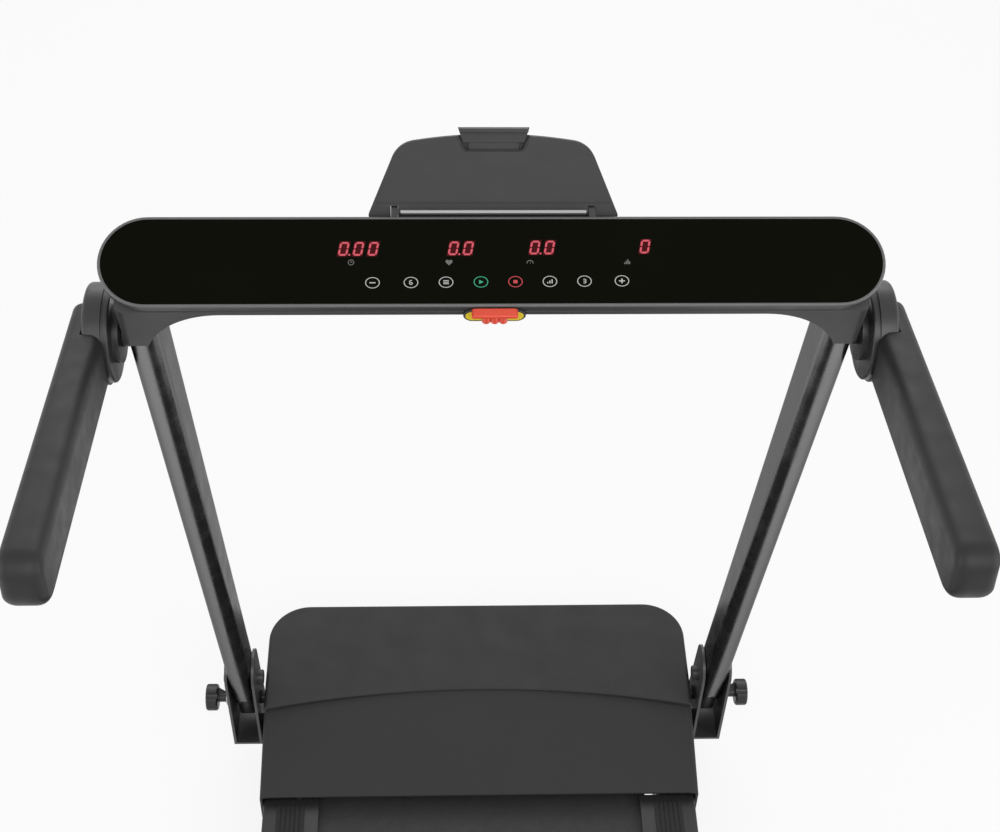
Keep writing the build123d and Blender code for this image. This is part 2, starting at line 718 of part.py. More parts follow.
inlet_front = panel_front + 4
inlet_rear = panel_front - 24
inlet = block(inlet_x - inlet_half_w, inlet_x + inlet_half_w, inlet_rear, inlet_front,
              panel_row_z - inlet_half_h, panel_row_z + inlet_half_h)
inlet += block(inlet_x - inlet_half_w - 3, inlet_x + inlet_half_w + 3, panel_front, inlet_front,
               panel_row_z - inlet_half_h - 3, panel_row_z + inlet_half_h + 3)
inlet_floor = inlet_front - 18
mouth_half_w = inlet_half_w - inlet_wall
mouth_half_h = inlet_half_h - inlet_wall
inlet -= block(inlet_x - mouth_half_w, inlet_x + mouth_half_w, inlet_floor, inlet_front + 1,
               panel_row_z - mouth_half_h, panel_row_z + mouth_half_h)
for pin_x, pin_z in ((-7, -1.5), (0, 2.5), (7, -1.5)):
    inlet += block(inlet_x + pin_x - 1, inlet_x + pin_x + 1, inlet_floor - 1, inlet_floor + 9,
                   panel_row_z + pin_z - 2, panel_row_z + pin_z + 2)
nodes["power_inlet"] = inlet

rocker_y = panel_front - 4
housing = block(switch_x - switch_half_w, switch_x + switch_half_w, rocker_y - 14, panel_front,
                panel_row_z - switch_half_h, panel_row_z + switch_half_h)
housing += block(switch_x - switch_half_w - 2, switch_x + switch_half_w + 2, panel_front, panel_front + 2,
                 panel_row_z - switch_half_h - 2, panel_row_z + switch_half_h + 2)
rocker_room = rocker_radius + sliding_gap
rocker_x0 = switch_x - rocker_width / 2
rocker_x1 = switch_x + rocker_width / 2
rocker_pin = 2
housing -= rod_x(rocker_room, rocker_x0 - sliding_gap, rocker_x1 + sliding_gap, rocker_y, panel_row_z)
housing -= block(rocker_x0 - sliding_gap, rocker_x1 + sliding_gap, rocker_y, panel_front + 3,
                 panel_row_z - rocker_room, panel_row_z + rocker_room)
housing -= rod_x(rocker_pin + running_gap, rocker_x0 - 2, rocker_x1 + 2, rocker_y, panel_row_z)
nodes["switch_housing"] = housing
rocker = rod_x(rocker_radius, rocker_x0, rocker_x1, 0, 0)
for tilt in (-rocker_tilt, rocker_tilt):
    rocker -= Pos(switch_x, 0, 0) * Rot(tilt, 0, 0) * block(-20, 20, 6.5, 30, -30, 30)
rocker += rod_x(rocker_pin, rocker_x0 - 1.8, rocker_x1 + 1.8, 0, 0)
nodes["power_rocker"] = Pos(0, rocker_y, panel_row_z) * Rot(-rocker_tilt, 0, 0) * rocker

breaker = rod_y(breaker_radius, panel_front - 20, panel_front, breaker_x, panel_row_z)
breaker += rod_y(breaker_radius + 3, panel_front, panel_front + 2.5, breaker_x, panel_row_z)
breaker -= rod_y(button_radius + sliding_gap, panel_front - 16, panel_front + 3, breaker_x, panel_row_z)
nodes["breaker_body"] = breaker
button_rear = panel_front - 16 + button_travel + 0.5
button = rod_y(button_radius, button_rear, panel_front + 5, breaker_x, panel_row_z)
nodes["breaker_button"] = fillet(button.edges().group_by(Axis.Y)[-1], 1)

# Mast
# Built upright about the pivot axis, user side toward -Y, then leaned toward the user
mast = Pos(0, pivot_y, pivot_height) * Rot(mast_lean, 0, 0)
console_in_mast = Pos(0, console_back, console_height) * Rot(console_tilt, 0, 0)
console = mast * console_in_mast

# Uprights
# Flat oval tubes with a round lower end, a plug in each one takes the pivot and the clamp
leg_bolt_z = (leg_end + upright_top) / 2
upright_outline = Pos(upright_centre_x, 0) * RectangleRounded(upright_width, upright_depth, upright_corner)
upright_inside = Pos(upright_centre_x, 0) * RectangleRounded(
    upright_width - 2 * upright_wall, upright_depth - 2 * upright_wall, upright_corner - upright_wall)
upright = Pos(0, 0, -upright_bottom) * extrude(upright_outline, upright_top + upright_bottom)
upright -= Pos(0, 0, -upright_bottom - 1) * extrude(upright_inside, upright_top + upright_bottom + 2)
round_z = upright_depth / 2 - upright_bottom
end_shape = block(upright_x0 - 1, upright_x1 + 1, -upright_depth, upright_depth, round_z, upright_top + 1)
end_shape += rod_x(upright_depth / 2, upright_x0 - 1, upright_x1 + 1, 0, round_z)
upright &= end_shape
upright -= rod_x(pivot_radius + running_gap, upright_x0 - 1, upright_x1 + 1, 0, 0)
upright -= rod_x(handle_bolt_radius + running_gap, upright_centre_x, upright_x1 + 1, 0, hub_height)
upright -= rod_y(leg_bolt_radius + running_gap, 0, upright_depth, upright_centre_x, leg_bolt_z)
nodes["upright_right"] = mast * upright
nodes["upright_left"] = mast * mirrored(upright)
plug_half = upright_depth / 2 - upright_wall - plug_inset
plug = block(plug_inner, plug_outer, -plug_half, plug_half, -plug_bottom, plug_top)
plug = fillet(plug.edges().filter_by(Axis.Z), upright_corner - upright_wall - joint_gap)
plug_round = block(0, yoke_out1, -upright_depth, upright_depth, plug_half - plug_bottom, plug_top + 1)
plug_round += rod_x(plug_half, 0, yoke_out1, 0, plug_half - plug_bottom)
plug &= plug_round
plug -= rod_x(pivot_radius + running_gap, upright_x0, upright_x1, 0, 0)
nodes["upright_plugs"] = mast * group(plug, mirrored(plug))

# Console chassis
# A shallow stadium tray on a beam, with a leg at each end that takes an upright
tray_outline = SlotOverall(2 * tray_half_length, 2 * tray_half_height)
tray = Pos(0, 0, -tray_depth) * extrude(tray_outline, tray_depth)
tray = chamfer(tray.edges().group_by(Axis.Z)[-1], rim_chamfer)
recess_outline = SlotOverall(2 * (tray_half_length - rim_width), 2 * (tray_half_height - rim_width))
tray -= Pos(0, 0, -glass_thickness) * extrude(recess_outline, glass_thickness + 1)
pocket_depth = glass_thickness + board_pocket
board_half_length = tray_half_length - 63
tray -= block(-board_half_length - 2, board_half_length + 2, -board_height / 2 - 2, board_height / 2 + 2,
              -pocket_depth, 1)
leg_x1 = upright_x1 + leg_wall
leg_x0 = upright_x0 - leg_wall
leg_half_depth = upright_depth / 2 + seat_gap + leg_front_wall
beam = block(-leg_x1, leg_x1, -leg_half_depth, leg_half_depth, leg_end, console_height + 30)
beam = fillet(beam.edges().filter_by(Axis.Z), leg_corner)
arch_x = leg_x0 + arch_into_leg
arch = block(-arch_x, arch_x, -leg_half_depth - 1, leg_half_depth + 1,
             beam_bottom - 2 * arch_radius, beam_bottom)
arch = fillet(arch.edges().filter_by(Axis.Y).group_by(Axis.Z)[-1], arch_radius)
beam -= arch
above_tray = 4 * tray_half_height
beam -= console_in_mast * block(-leg_x1 - 1, leg_x1 + 1, -above_tray, above_tray, -tray_depth + 1, above_tray)
chassis = console_in_mast * tray + beam
tube_room = RectangleRounded(upright_width + seat_gap * 2, upright_depth + seat_gap * 2, upright_corner)
tube_room_height = upright_top + seat_gap - leg_end + 1
for side in (-1, 1):
    chassis -= Pos(side * upright_centre_x, 0, leg_end - 1) * extrude(tube_room, tube_room_height)
under_cover_half_length = arch_x - arch_radius - under_cover_margin
chassis -= block(-under_cover_half_length, under_cover_half_length, -under_cover_half_depth,
                 under_cover_half_depth, beam_bottom - 1, beam_bottom + under_cover_thickness)
wire_hole = rod_z(6, beam_bottom, console_height, 0, console_back)
chassis -= wire_hole
under_screw_x = under_cover_half_length - 12
under_screw_y = under_cover_half_depth - 8
under_screws = []
for x in (-under_screw_x, 0, under_screw_x):
    for y in (-under_screw_y, under_screw_y):
        chassis -= rod_z(screw_radius, beam_bottom - 1, beam_bottom + 6, x, y)
        screw = rod_z(screw_radius, beam_bottom - 1, beam_bottom + 5.5, x, y)
        screw += rod_z(screw_radius * 2, beam_bottom - 1.5, beam_bottom, x, y)
        under_screws.append(screw)

# Leg bolts go in from the far side, through the leg and into the tube
leg_bolts = []
for side in (-1, 1):
    x = side * upright_centre_x
    chassis -= rod_y(leg_bolt_radius + running_gap, 0, leg_half_depth + 1, x, leg_bolt_z)
    bolt = rod_y(leg_bolt_radius, upright_depth / 2 - 8, leg_half_depth, x, leg_bolt_z)
    bolt += rod_y(leg_bolt_radius * 1.8, leg_half_depth, leg_half_depth + 3.5, x, leg_bolt_z)
    leg_bolts.append(bolt)
nodes["console_screws"] = mast * group(*(under_screws + leg_bolts))

# Ears on the rear wall of the tray carry the tablet holder's hinge pins
hinge_v = tray_half_height + tablet_hinge_behind
ear_x0 = hinge_half_span
ear_x1 = hinge_half_span + hinge_ear_width
for side in (-1, 1):
    x0 = min(side * ear_x0, side * ear_x1)
    x1 = max(side * ear_x0, side * ear_x1)
    ear = rod_x(tablet_barrel_radius, x0, x1, hinge_v, -tablet_hinge_drop)
    ear += block(x0, x1, tray_half_height - 1, hinge_v, -tray_depth, tablet_barrel_radius - tablet_hinge_drop)
    ear -= rod_x(hinge_pin_radius, x0 - 1, x1 + 1, hinge_v, -tablet_hinge_drop)
    chassis += console_in_mast * ear

# Key socket
# A round-ended plate on the front of the beam with a hole for the key's magnet boss
beam_front = -leg_half_depth
socket_front = beam_front - socket_depth
socket_bottom = beam_bottom - socket_hang
socket_outline = SlotOverall(key_width + 2 * socket_margin, socket_height)
socket_outline = Pos(0, socket_bottom + socket_height / 2) * socket_outline
socket = extrude(Plane.XZ.offset(-beam_front) * socket_outline, socket_depth)
socket -= console_in_mast * Pos(0, 0, -tray_depth) * extrude(tray_outline, tray_depth + 1)
socket -= rod_y(key_boss_radius + sliding_gap, socket_front - 1, beam_front + 1, 0, key_boss_z)
nodes["key_socket"] = mast * socket
key_rear = socket_front - 0.1
key_top = beam_bottom + key_rise
key = block(-key_width / 2, key_width / 2, key_rear - key_depth, key_rear, key_top - key_flange, key_top)
key = fillet(key.edges().filter_by(Axis.Y).group_by(Axis.Z)[-1], key_corner)
key = fillet(key.faces().sort_by(Axis.Y)[0].edges(), 1.2)
key += block(-key_width / 2 + 1, key_width / 2 - 1, key_rear - key_plate, key_rear,
             key_top - key_height, key_top - 1)
for index in range(key_ridge_count):
    ridge_x = key_ridge_pitch * (index - (key_ridge_count - 1) / 2)
    key += rod_z(key_ridge_radius, key_top - key_height, key_top - 1, ridge_x, key_rear - key_depth / 2)
key += rod_y(key_boss_radius, socket_front - 1, beam_front - 0.5, 0, key_boss_z)
nodes["safety_key"] = mast * key

nodes["console_chassis"] = mast * chassis
under_cover = block(-under_cover_half_length + seat_gap, under_cover_half_length - seat_gap,
                    -under_cover_half_depth + seat_gap, under_cover_half_depth - seat_gap,
                    beam_bottom, beam_bottom + under_cover_thickness)
for x in (-under_screw_x, 0, under_screw_x):
    for y in (-under_screw_y, under_screw_y):
        under_cover -= rod_z(screw_radius + 0.1, beam_bottom - 1, beam_bottom + 6, x, y)
nodes["console_under_cover"] = mast * under_cover

# Glass and display board
glass_outline = SlotOverall(2 * (tray_half_length - rim_width - seat_gap),
                            2 * (tray_half_height - rim_width - seat_gap))
glass = Pos(0, 0, -glass_thickness) * extrude(glass_outline, glass_thickness - 0.3)
nodes["console_glass"] = console * glass
circuit = block(-board_half_length, board_half_length, -board_height / 2, board_height / 2,
                -pocket_depth, -pocket_depth + circuit_thickness)
module_rise = board_pocket - circuit_thickness - 0.6
for x in (-120, -25, 45, 130):
    circuit += block(x - 26, x + 26, 0, 20, -pocket_depth + circuit_thickness - 0.1,
                     -pocket_depth + circuit_thickness + module_rise)
nodes["display_board"] = console * circuit

# Handles
# Each one turns on a bolt in its upright, the grip runs out past the outer face of the hub drum
handle = mast * Pos(0, 0, hub_height) * Rot(-(handle_rise + mast_lean), 0, 0)
arm_z1 = hub_radius - arm_drop
arm_z0 = arm_z1 - grip_depth
arm_z = (arm_z0 + arm_z1) / 2
hub_boss_x0 = upright_x1 + hub_stand_off
hub_disc_x0 = hub_boss_x0 + hub_boss_height
hub_disc_x1 = hub_disc_x0 + hub_disc_thickness
hub_body_x1 = hub_disc_x1 + hub_body_width
grip_x0 = hub_disc_x0 + grip_offset
grip_x1 = grip_x0 + grip_width
core_x = (grip_x0 + grip_x1) / 2
hub = rod_x(hub_radius, hub_disc_x0, hub_disc_x1, 0, 0)
hub = fillet(hub.edges().filter_by(GeomType.CIRCLE), 2)
hub += rod_x(hub_boss_radius, hub_boss_x0, hub_disc_x1, 0, 0)
drum = rod_x(hub_body_radius, hub_disc_x1 - 2, hub_body_x1, 0, 0)
hub += fillet(drum.edges().group_by(Axis.X)[-1], 4)
core_start = -hub_radius / 2
core = block(core_x - core_width / 2, core_x + core_width / 2, -handle_length + 25, core_start,
             arm_z - core_depth / 2, arm_z + core_depth / 2)
bolt_head_x = hub_body_x1 - handle_bolt_sink
bolt_tip_x = bolt_head_x + handle_head
arm = hub + core
arm -= rod_x(handle_bolt_radius + running_gap, hub_boss_x0 - 1, hub_body_x1 + 1, 0, 0)
arm -= rod_x(handle_head_radius + handle_head_room, bolt_head_x, hub_body_x1 + 10, 0, 0)
nodes["handle_arm_right"] = handle * arm
nodes["handle_arm_left"] = handle * mirrored(arm)
grip = block(grip_x0, grip_x1, -handle_length, grip_lead, arm_z0, arm_z1)
grip = fillet(grip.edges().filter_by(Axis.X).group_by(Axis.Y)[0].sort_by(Axis.Z)[-1], grip_nose)
grip = fillet(grip.edges().filter_by(Axis.X).group_by(Axis.Y)[0].sort_by(Axis.Z)[0], grip_chin)
grip = fillet(grip.edges().filter_by(Axis.X).group_by(Axis.Y)[-1], grip_heel)
grip = fillet(grip.faces().filter_by(Axis.X).edges(), grip_corner)
grip -= block(core_x - core_width / 2 - 0.1, core_x + core_width / 2 + 0.1, -handle_length + 24.5,
              core_start + 0.5, arm_z - core_depth / 2 - 0.1, arm_z + core_depth / 2 + 0.1)
grip -= rod_x(hub_body_radius + joint_gap, grip_x0 - 1, hub_body_x1 + joint_gap, 0, 0)
grip -= rod_x(handle_head_radius + handle_head_room, hub_body_x1, grip_x1 + 1, 0, 0)
nodes["handle_grip_right"] = handle * grip
nodes["handle_grip_left"] = handle * mirrored(grip)
handle_bolt = rod_x(handle_bolt_radius, upright_centre_x, bolt_tip_x, 0, hub_height)
handle_bolt += rod_x(handle_collar_radius, upright_x1, hub_boss_x0 - sliding_gap, 0, hub_height)
handle_bolt += rod_x(handle_head_radius, bolt_head_x + sliding_gap, bolt_tip_x, 0, hub_height)
nodes["handle_pivot_bolts"] = mast * group(handle_bolt, mirrored(handle_bolt))

# Tablet holder
# A flap on two pins behind the console, with a ledge along its foot and a notch for the clip
tablet_turn = -(tablet_lean_back + mast_lean + console_tilt)
tablet = console * Pos(0, hinge_v, -tablet_hinge_drop) * Rot(tablet_turn, 0, 0)
notch_bottom = tablet_height - notch_depth
clip_top = tablet_height + clip_rise
top_corner_z = tablet_height - tablet_crown
side_slope = (tablet_base_half - tablet_top_half) / top_corner_z
wing_half = tablet_base_half + side_slope * tablet_wing_drop
top_arc = ThreePointArc((-tablet_top_half, top_corner_z), (0, tablet_height), (tablet_top_half, top_corner_z))
sides = Polyline((tablet_top_half, top_corner_z), (wing_half, -tablet_wing_drop),
                 (-wing_half, -tablet_wing_drop), (-tablet_top_half, top_corner_z))
outline = make_face(top_arc.edges() + sides.edges())
outline = fillet(outline.vertices().group_by(Axis.Y)[-1], tablet_corner)
outline = fillet(outline.vertices().group_by(Axis.Y)[0], 3)
wing_x0 = ear_x1 + joint_gap
outline -= Polygon((-wing_x0, -wing_x0), (wing_x0, -wing_x0), (wing_x0, tablet_start),
                   (-wing_x0, tablet_start), align=None)
plate_half = tablet_thickness / 2
plate = extrude(Plane.XZ.offset(-plate_half) * outline, tablet_thickness)
notch = Polygon((-notch_low_half, notch_bottom), (notch_low_half, notch_bottom),
                (notch_top_half, tablet_height), (-notch_top_half, tablet_height), align=None)
notch = fillet(notch.vertices().group_by(Axis.Y)[0], notch_corner)
notch_back = plate_half - notch_back_wall
plate -= extrude(Plane.XZ.offset(-notch_back) * notch, tablet_thickness)
barrel_half = hinge_half_span - sliding_gap
foot = rod_x(tablet_barrel_radius, -barrel_half, barrel_half, 0, 0)
foot += block(-barrel_half, barrel_half, -plate_half, plate_half, 0, tablet_start + 3)
foot -= rod_x(hinge_pin_radius + running_gap, -barrel_half - 1, -barrel_half + 10, 0, 0)
foot -= rod_x(hinge_pin_radius + running_gap, barrel_half - 10, barrel_half + 1, 0, 0)
plate += foot
ledge_half = barrel_half - tablet_ledge_inset
ledge_front = -plate_half - tablet_ledge_reach
ledge_top = tablet_ledge_start + tablet_ledge_thickness
lip_top = tablet_ledge_start + tablet_lip_height
plate += block(-ledge_half, ledge_half, ledge_front, -plate_half, tablet_ledge_start, ledge_top)
plate += block(-ledge_half, ledge_half, ledge_front, ledge_front + tablet_lip_thickness,
               tablet_ledge_start, lip_top)
stem_room = clip_stem_thickness / 2 + sliding_gap
stem_bottom = notch_bottom + 0.5 - clip_travel - clip_stem_hold
plate -= block(-clip_stem_half - sliding_gap, clip_stem_half + sliding_gap, -stem_room, stem_room,
               stem_bottom - 0.5, notch_bottom + 1)
nodes["tablet_plate"] = tablet * plate
pin_reach = hinge_half_span - 9
hinge_pin = rod_x(hinge_pin_radius, pin_reach, ear_x1, hinge_v, -tablet_hinge_drop)
nodes["tablet_hinge_pins"] = console * group(hinge_pin, mirrored(hinge_pin))
notch_slope = (notch_top_half - notch_low_half) / (tablet_height - notch_bottom)
clip_low_half = notch_low_half - clip_side_gap
clip_high_half = clip_low_half + notch_slope * (clip_top - notch_bottom)
clip_bottom = notch_bottom + clip_lift
clip_bottom_half = clip_low_half + notch_slope * clip_lift
clip_outline = Polygon((-clip_bottom_half, clip_bottom), (clip_bottom_half, clip_bottom),
                       (clip_high_half, clip_top), (-clip_high_half, clip_top), align=None)
clip_back = notch_back - joint_gap
clip = extrude(Plane.XZ.offset(-clip_back) * clip_outline, clip_back + plate_half - 0.5)
clip += block(-clip_high_half + 1, clip_high_half - 1, -plate_half - 5, 0, clip_top - 3, clip_top)
clip += block(-clip_stem_half, clip_stem_half, -clip_stem_thickness / 2, clip_stem_thickness / 2,
              stem_bottom, clip_bottom + 1)
nodes["tablet_clip"] = tablet * clip

os.makedirs("parts", exist_ok=True)
for name, shape in nodes.items():
    export_step(shape, f"parts/{name}.step")
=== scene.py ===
from math import cos, pi, radians, sin, sqrt

import bmesh
import bpy
from mathutils import Matrix, Vector


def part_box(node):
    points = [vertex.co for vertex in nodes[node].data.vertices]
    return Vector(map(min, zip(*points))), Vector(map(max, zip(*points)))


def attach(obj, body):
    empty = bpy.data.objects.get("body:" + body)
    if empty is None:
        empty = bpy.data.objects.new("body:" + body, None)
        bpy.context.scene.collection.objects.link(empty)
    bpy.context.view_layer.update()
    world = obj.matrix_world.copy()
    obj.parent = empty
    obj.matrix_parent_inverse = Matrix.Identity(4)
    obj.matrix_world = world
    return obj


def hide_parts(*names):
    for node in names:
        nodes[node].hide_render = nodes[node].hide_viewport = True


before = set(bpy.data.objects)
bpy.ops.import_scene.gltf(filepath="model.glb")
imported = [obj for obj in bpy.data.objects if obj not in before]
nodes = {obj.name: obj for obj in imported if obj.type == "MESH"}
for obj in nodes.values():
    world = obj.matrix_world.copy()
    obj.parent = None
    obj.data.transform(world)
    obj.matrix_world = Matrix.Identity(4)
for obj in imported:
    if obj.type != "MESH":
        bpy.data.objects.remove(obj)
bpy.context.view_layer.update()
scene = bpy.context.scene
MM = 0.001

# Frames of the moving assemblies, in metres
mast_frame = Matrix.Translation((0, 0.565, 0.170)) @ Matrix.Rotation(radians(13), 4, "X")
console_tilt = Matrix.Rotation(radians(13.5), 4, "X")
console_frame = mast_frame @ Matrix.Translation((0, 0.0077, 0.922)) @ console_tilt
handle_turn = Matrix.Rotation(radians(-21.9), 4, "X")
handle_frame = mast_frame @ Matrix.Translation((0, 0, 0.822)) @ handle_turn
tablet_turn = Matrix.Rotation(radians(-54.5), 4, "X")
tablet_frame = console_frame @ Matrix.Translation((0, 0.0504, -0.008)) @ tablet_turn
rocker_frame = Matrix.Translation((0.148, 0.6905, 0.076)) @ Matrix.Rotation(radians(-9), 4, "X")
flip = Matrix.Diagonal((-1, 1, 1, 1))
facing_user = Matrix.Rotation(radians(90), 4, "X")
facing_front = Matrix.Rotation(radians(-90), 4, "X")


def local_box(name, place):
    """Lowest and highest corners of a CAD node in one assembly's own axes, in millimetres."""
    back = place.inverted()
    points = [back @ vert.co for vert in nodes[name].data.vertices]
    low = [min(point[axis] for point in points) / MM for axis in range(3)]
    high = [max(point[axis] for point in points) / MM for axis in range(3)]
    return low, high


# Materials
def link(tree, source, target):
    tree.links.new(source, target)


def add(tree, kind, **inputs):
    node = tree.nodes.new(kind)
    for name, value in inputs.items():
        node.inputs[name].default_value = value
    return node


def noise(tree, place, scale, detail=3.0):
    node = add(tree, "ShaderNodeTexNoise", Scale=scale, Detail=detail)
    link(tree, place, node.inputs["Vector"])
    return node.outputs["Fac"]


def value_map(tree, value, from_low, from_high, to_low, to_high):
    node = tree.nodes.new("ShaderNodeMapRange")
    levels = {"From Min": from_low, "From Max": from_high, "To Min": to_low, "To Max": to_high}
    for name, level in levels.items():
        node.inputs[name].default_value = level
    link(tree, value, node.inputs["Value"])
    return node.outputs["Result"]


def colour_mix(tree, factor, first, second):
    """Mixes two colours, each a fixed colour or the output of another node."""
    node = tree.nodes.new("ShaderNodeMix")
    node.data_type = "RGBA"
    colours = [socket for socket in node.inputs if socket.type == "RGBA"]
    for socket, colour in zip(colours, (first, second)):
        if isinstance(colour, tuple):
            socket.default_value = (*colour, 1)
        else:
            link(tree, colour, socket)
    link(tree, factor, node.inputs["Factor"])
    return [socket for socket in node.outputs if socket.type == "RGBA"][0]


def shade(colour, factor):
    return tuple(min(1.0, channel * factor) for channel in colour)


def grey(level):
    return (level, level, level * 1.02)


def surface(name, colour, rough, metal=0.0, specular=0.5, spread=0.12, patch=28.0, rough_spread=0.06,
            grain=1400.0, depth=0.00004, edge=0.0007, wear=1.25, stretch=(1, 1, 1), coat=0.0, edge_tint=1.0):
    """A used finish: patchy colour, uneven roughness, fine bump and softened, lighter edges."""
    material = bpy.data.materials.new(name)
    material.use_nodes = True
    tree = material.node_tree
    shader = tree.nodes["Principled BSDF"]
    shader.inputs["Metallic"].default_value = metal
    shader.inputs["Specular IOR Level"].default_value = specular
    shader.inputs["Specular Tint"].default_value = (edge_tint, edge_tint, edge_tint, 1)
    shader.inputs["Coat Weight"].default_value = coat
    coordinates = tree.nodes.new("ShaderNodeTexCoord")
    mapping = add(tree, "ShaderNodeMapping", Scale=stretch)
    link(tree, coordinates.outputs["Object"], mapping.inputs["Vector"])
    place = mapping.outputs["Vector"]
    patches = noise(tree, place, patch)
    base = colour_mix(tree, patches, shade(colour, 1 - spread), shade(colour, 1 + spread))
    bevel = add(tree, "ShaderNodeBevel", Radius=edge)
    bevel.samples = 4
    geometry = tree.nodes.new("ShaderNodeNewGeometry")
    facing = tree.nodes.new("ShaderNodeVectorMath")
    facing.operation = "DOT_PRODUCT"
    link(tree, bevel.outputs["Normal"], facing.inputs[0])
    link(tree, geometry.outputs["Normal"], facing.inputs[1])
    rubbed = value_map(tree, facing.outputs["Value"], 0.995, 0.85, 0.0, 1.0)
    link(tree, colour_mix(tree, rubbed, base, shade(colour, wear)), shader.inputs["Base Color"])
    uneven = noise(tree, place, patch * 3.7)
    roughness = value_map(tree, uneven, 0.3, 0.7, rough - rough_spread, rough + rough_spread)
    link(tree, roughness, shader.inputs["Roughness"])
    bump = add(tree, "ShaderNodeBump", Strength=1.0, Distance=depth)
    link(tree, noise(tree, place, grain, 2.0), bump.inputs["Height"])
    link(tree, bevel.outputs["Normal"], bump.inputs["Normal"])
    link(tree, bump.outputs["Normal"], shader.inputs["Normal"])
    return material


def glowing(name, colour, strength):
    """A mark on the panel that glows by emission, with a slightly uneven brightness; a lit mark glows for
    real, while on a printed mark this glow is painted light.
    """
    material = bpy.data.materials.new(name)
    material.use_nodes = True
    tree = material.node_tree
    shader = tree.nodes["Principled BSDF"]
    shader.inputs["Roughness"].default_value = 0.4
    shader.inputs["Specular IOR Level"].default_value = 0.1
    shader.inputs["Emission Strength"].default_value = strength
    coordinates = tree.nodes.new("ShaderNodeTexCoord")
    uneven = noise(tree, coordinates.outputs["Object"], 900.0)
    lit = colour_mix(tree, uneven, shade(colour, 0.8), shade(colour, 1.15))
    link(tree, lit, shader.inputs["Emission Color"])
    dim = colour_mix(tree, uneven, shade(colour, 0.1), shade(colour, 0.2))
    link(tree, dim, shader.inputs["Base Color"])
    return material


def diamond_tread(name, colour, rough, pitch, depth):
    """A moulded diamond tread of two crossed waves, for the running belt."""
    material = surface(name, colour, rough, spread=0.15, patch=18, wear=1.1)
    tree = material.node_tree
    shader = tree.nodes["Principled BSDF"]
    coordinates = tree.nodes.new("ShaderNodeTexCoord")
    crossed = tree.nodes.new("ShaderNodeMath")
    crossed.operation = "MULTIPLY"
    for index, slant in enumerate((35, -35)):
        turn = add(tree, "ShaderNodeMapping", Rotation=(0, 0, radians(slant)))
        link(tree, coordinates.outputs["Object"], turn.inputs["Vector"])
        wave = add(tree, "ShaderNodeTexWave", Scale=pitch)
        link(tree, turn.outputs["Vector"], wave.inputs["Vector"])
        link(tree, wave.outputs["Fac"], crossed.inputs[index])
    bump = add(tree, "ShaderNodeBump", Strength=1.0, Distance=depth)
    link(tree, crossed.outputs["Value"], bump.inputs["Height"])
    link(tree, shader.inputs["Normal"].links[0].from_socket, bump.inputs["Normal"])
    link(tree, bump.outputs["Normal"], shader.inputs["Normal"])
    return material


upright_paint = surface("upright_paint", grey(0.25), 0.27, metal=1.0, spread=0.05, patch=9, grain=2200,
                        depth=0.000006, edge=0.003, wear=1.0, edge_tint=0.35)
yoke_paint = surface("yoke_paint", grey(0.07), 0.36, metal=0.5, spread=0.08, patch=18, grain=2200,
                     depth=0.00001)
frame_paint = surface("frame_paint", grey(0.022), 0.42, spread=0.1, grain=1800, depth=0.00002)
cover_plastic = surface("cover_plastic", grey(0.026), 0.52, specular=0.25, spread=0.05, patch=7, grain=2600,
                        depth=0.00005)
chassis_plastic = surface("chassis_plastic", grey(0.045), 0.46, specular=0.4, spread=0.05, patch=9,
                          grain=2600, depth=0.00003)
tablet_plastic = surface("tablet_plastic", grey(0.035), 0.5, specular=0.3, spread=0.05, patch=12, grain=1700,
                         depth=0.00005)
glass_black = surface("glass_black", (0.0030, 0.0032, 0.0012), 0.09, specular=0.03, spread=0.2, patch=11,
                      rough_spread=0.03, grain=60, depth=0.0, wear=1.0)
rim_grey = surface("rim_grey", grey(0.105), 0.38, spread=0.05, patch=20, grain=2000, depth=0.00001)
grip_soft = surface("grip_soft", grey(0.022), 0.46, specular=0.25, spread=0.06, patch=16, grain=1500,
                    depth=0.00006, wear=1.1)
hub_plastic = surface("hub_plastic", grey(0.024), 0.36, specular=0.45, spread=0.05, patch=25, grain=2200,
                      depth=0.00003)
knob_plastic = surface("knob_plastic", grey(0.012), 0.38, spread=0.1, patch=60, grain=1800, depth=0.00003)
steel = surface("steel", (0.55, 0.55, 0.56), 0.28, metal=1.0, spread=0.06, patch=40, grain=900, depth=0.00001,
                stretch=(1, 8, 8), wear=1.15)
black_steel = surface("black_steel", grey(0.035), 0.36, metal=0.3, patch=60, grain=1500, depth=0.00001)
motor_paint = surface("motor_paint", grey(0.02), 0.4, patch=40, grain=1500, depth=0.00002)
iron = surface("iron", (0.22, 0.22, 0.23), 0.4, metal=1.0, patch=60, grain=700, depth=0.00004,
               stretch=(1, 5, 5))
aluminium = surface("aluminium", (0.6, 0.6, 0.62), 0.34, metal=1.0, patch=50, grain=1200, depth=0.00001,
                    stretch=(8, 1, 8))
rail_black = surface("rail_black", grey(0.045), 0.36, metal=0.6, spread=0.08, patch=20, grain=900,
                     depth=0.00001, stretch=(10, 0.4, 10))
rubber = surface("rubber", grey(0.016), 0.72, specular=0.3, patch=60, grain=1100, depth=0.00008, wear=1.4)
board_wood = surface("board_wood", (0.30, 0.20, 0.12), 0.6, spread=0.25, patch=120, grain=800, depth=0.00004,
                     wear=1.2)
circuit = surface("circuit", (0.012, 0.09, 0.035), 0.4, spread=0.2, patch=90, grain=500, depth=0.00002)
key_red = surface("key_red", (0.76, 0.075, 0.035), 0.34, spread=0.08, patch=70, grain=1500, depth=0.00002,
                  wear=1.15)
socket_yellow = surface("socket_yellow", (0.80, 0.62, 0.03), 0.42, spread=0.08, patch=70, grain=1500,
                        depth=0.00002)
switch_black = surface("switch_black", grey(0.012), 0.32, patch=70, grain=1500, depth=0.00002)
rocker_red = surface("rocker_red", (0.5, 0.02, 0.015), 0.3, patch=70, grain=1500, depth=0.00002)
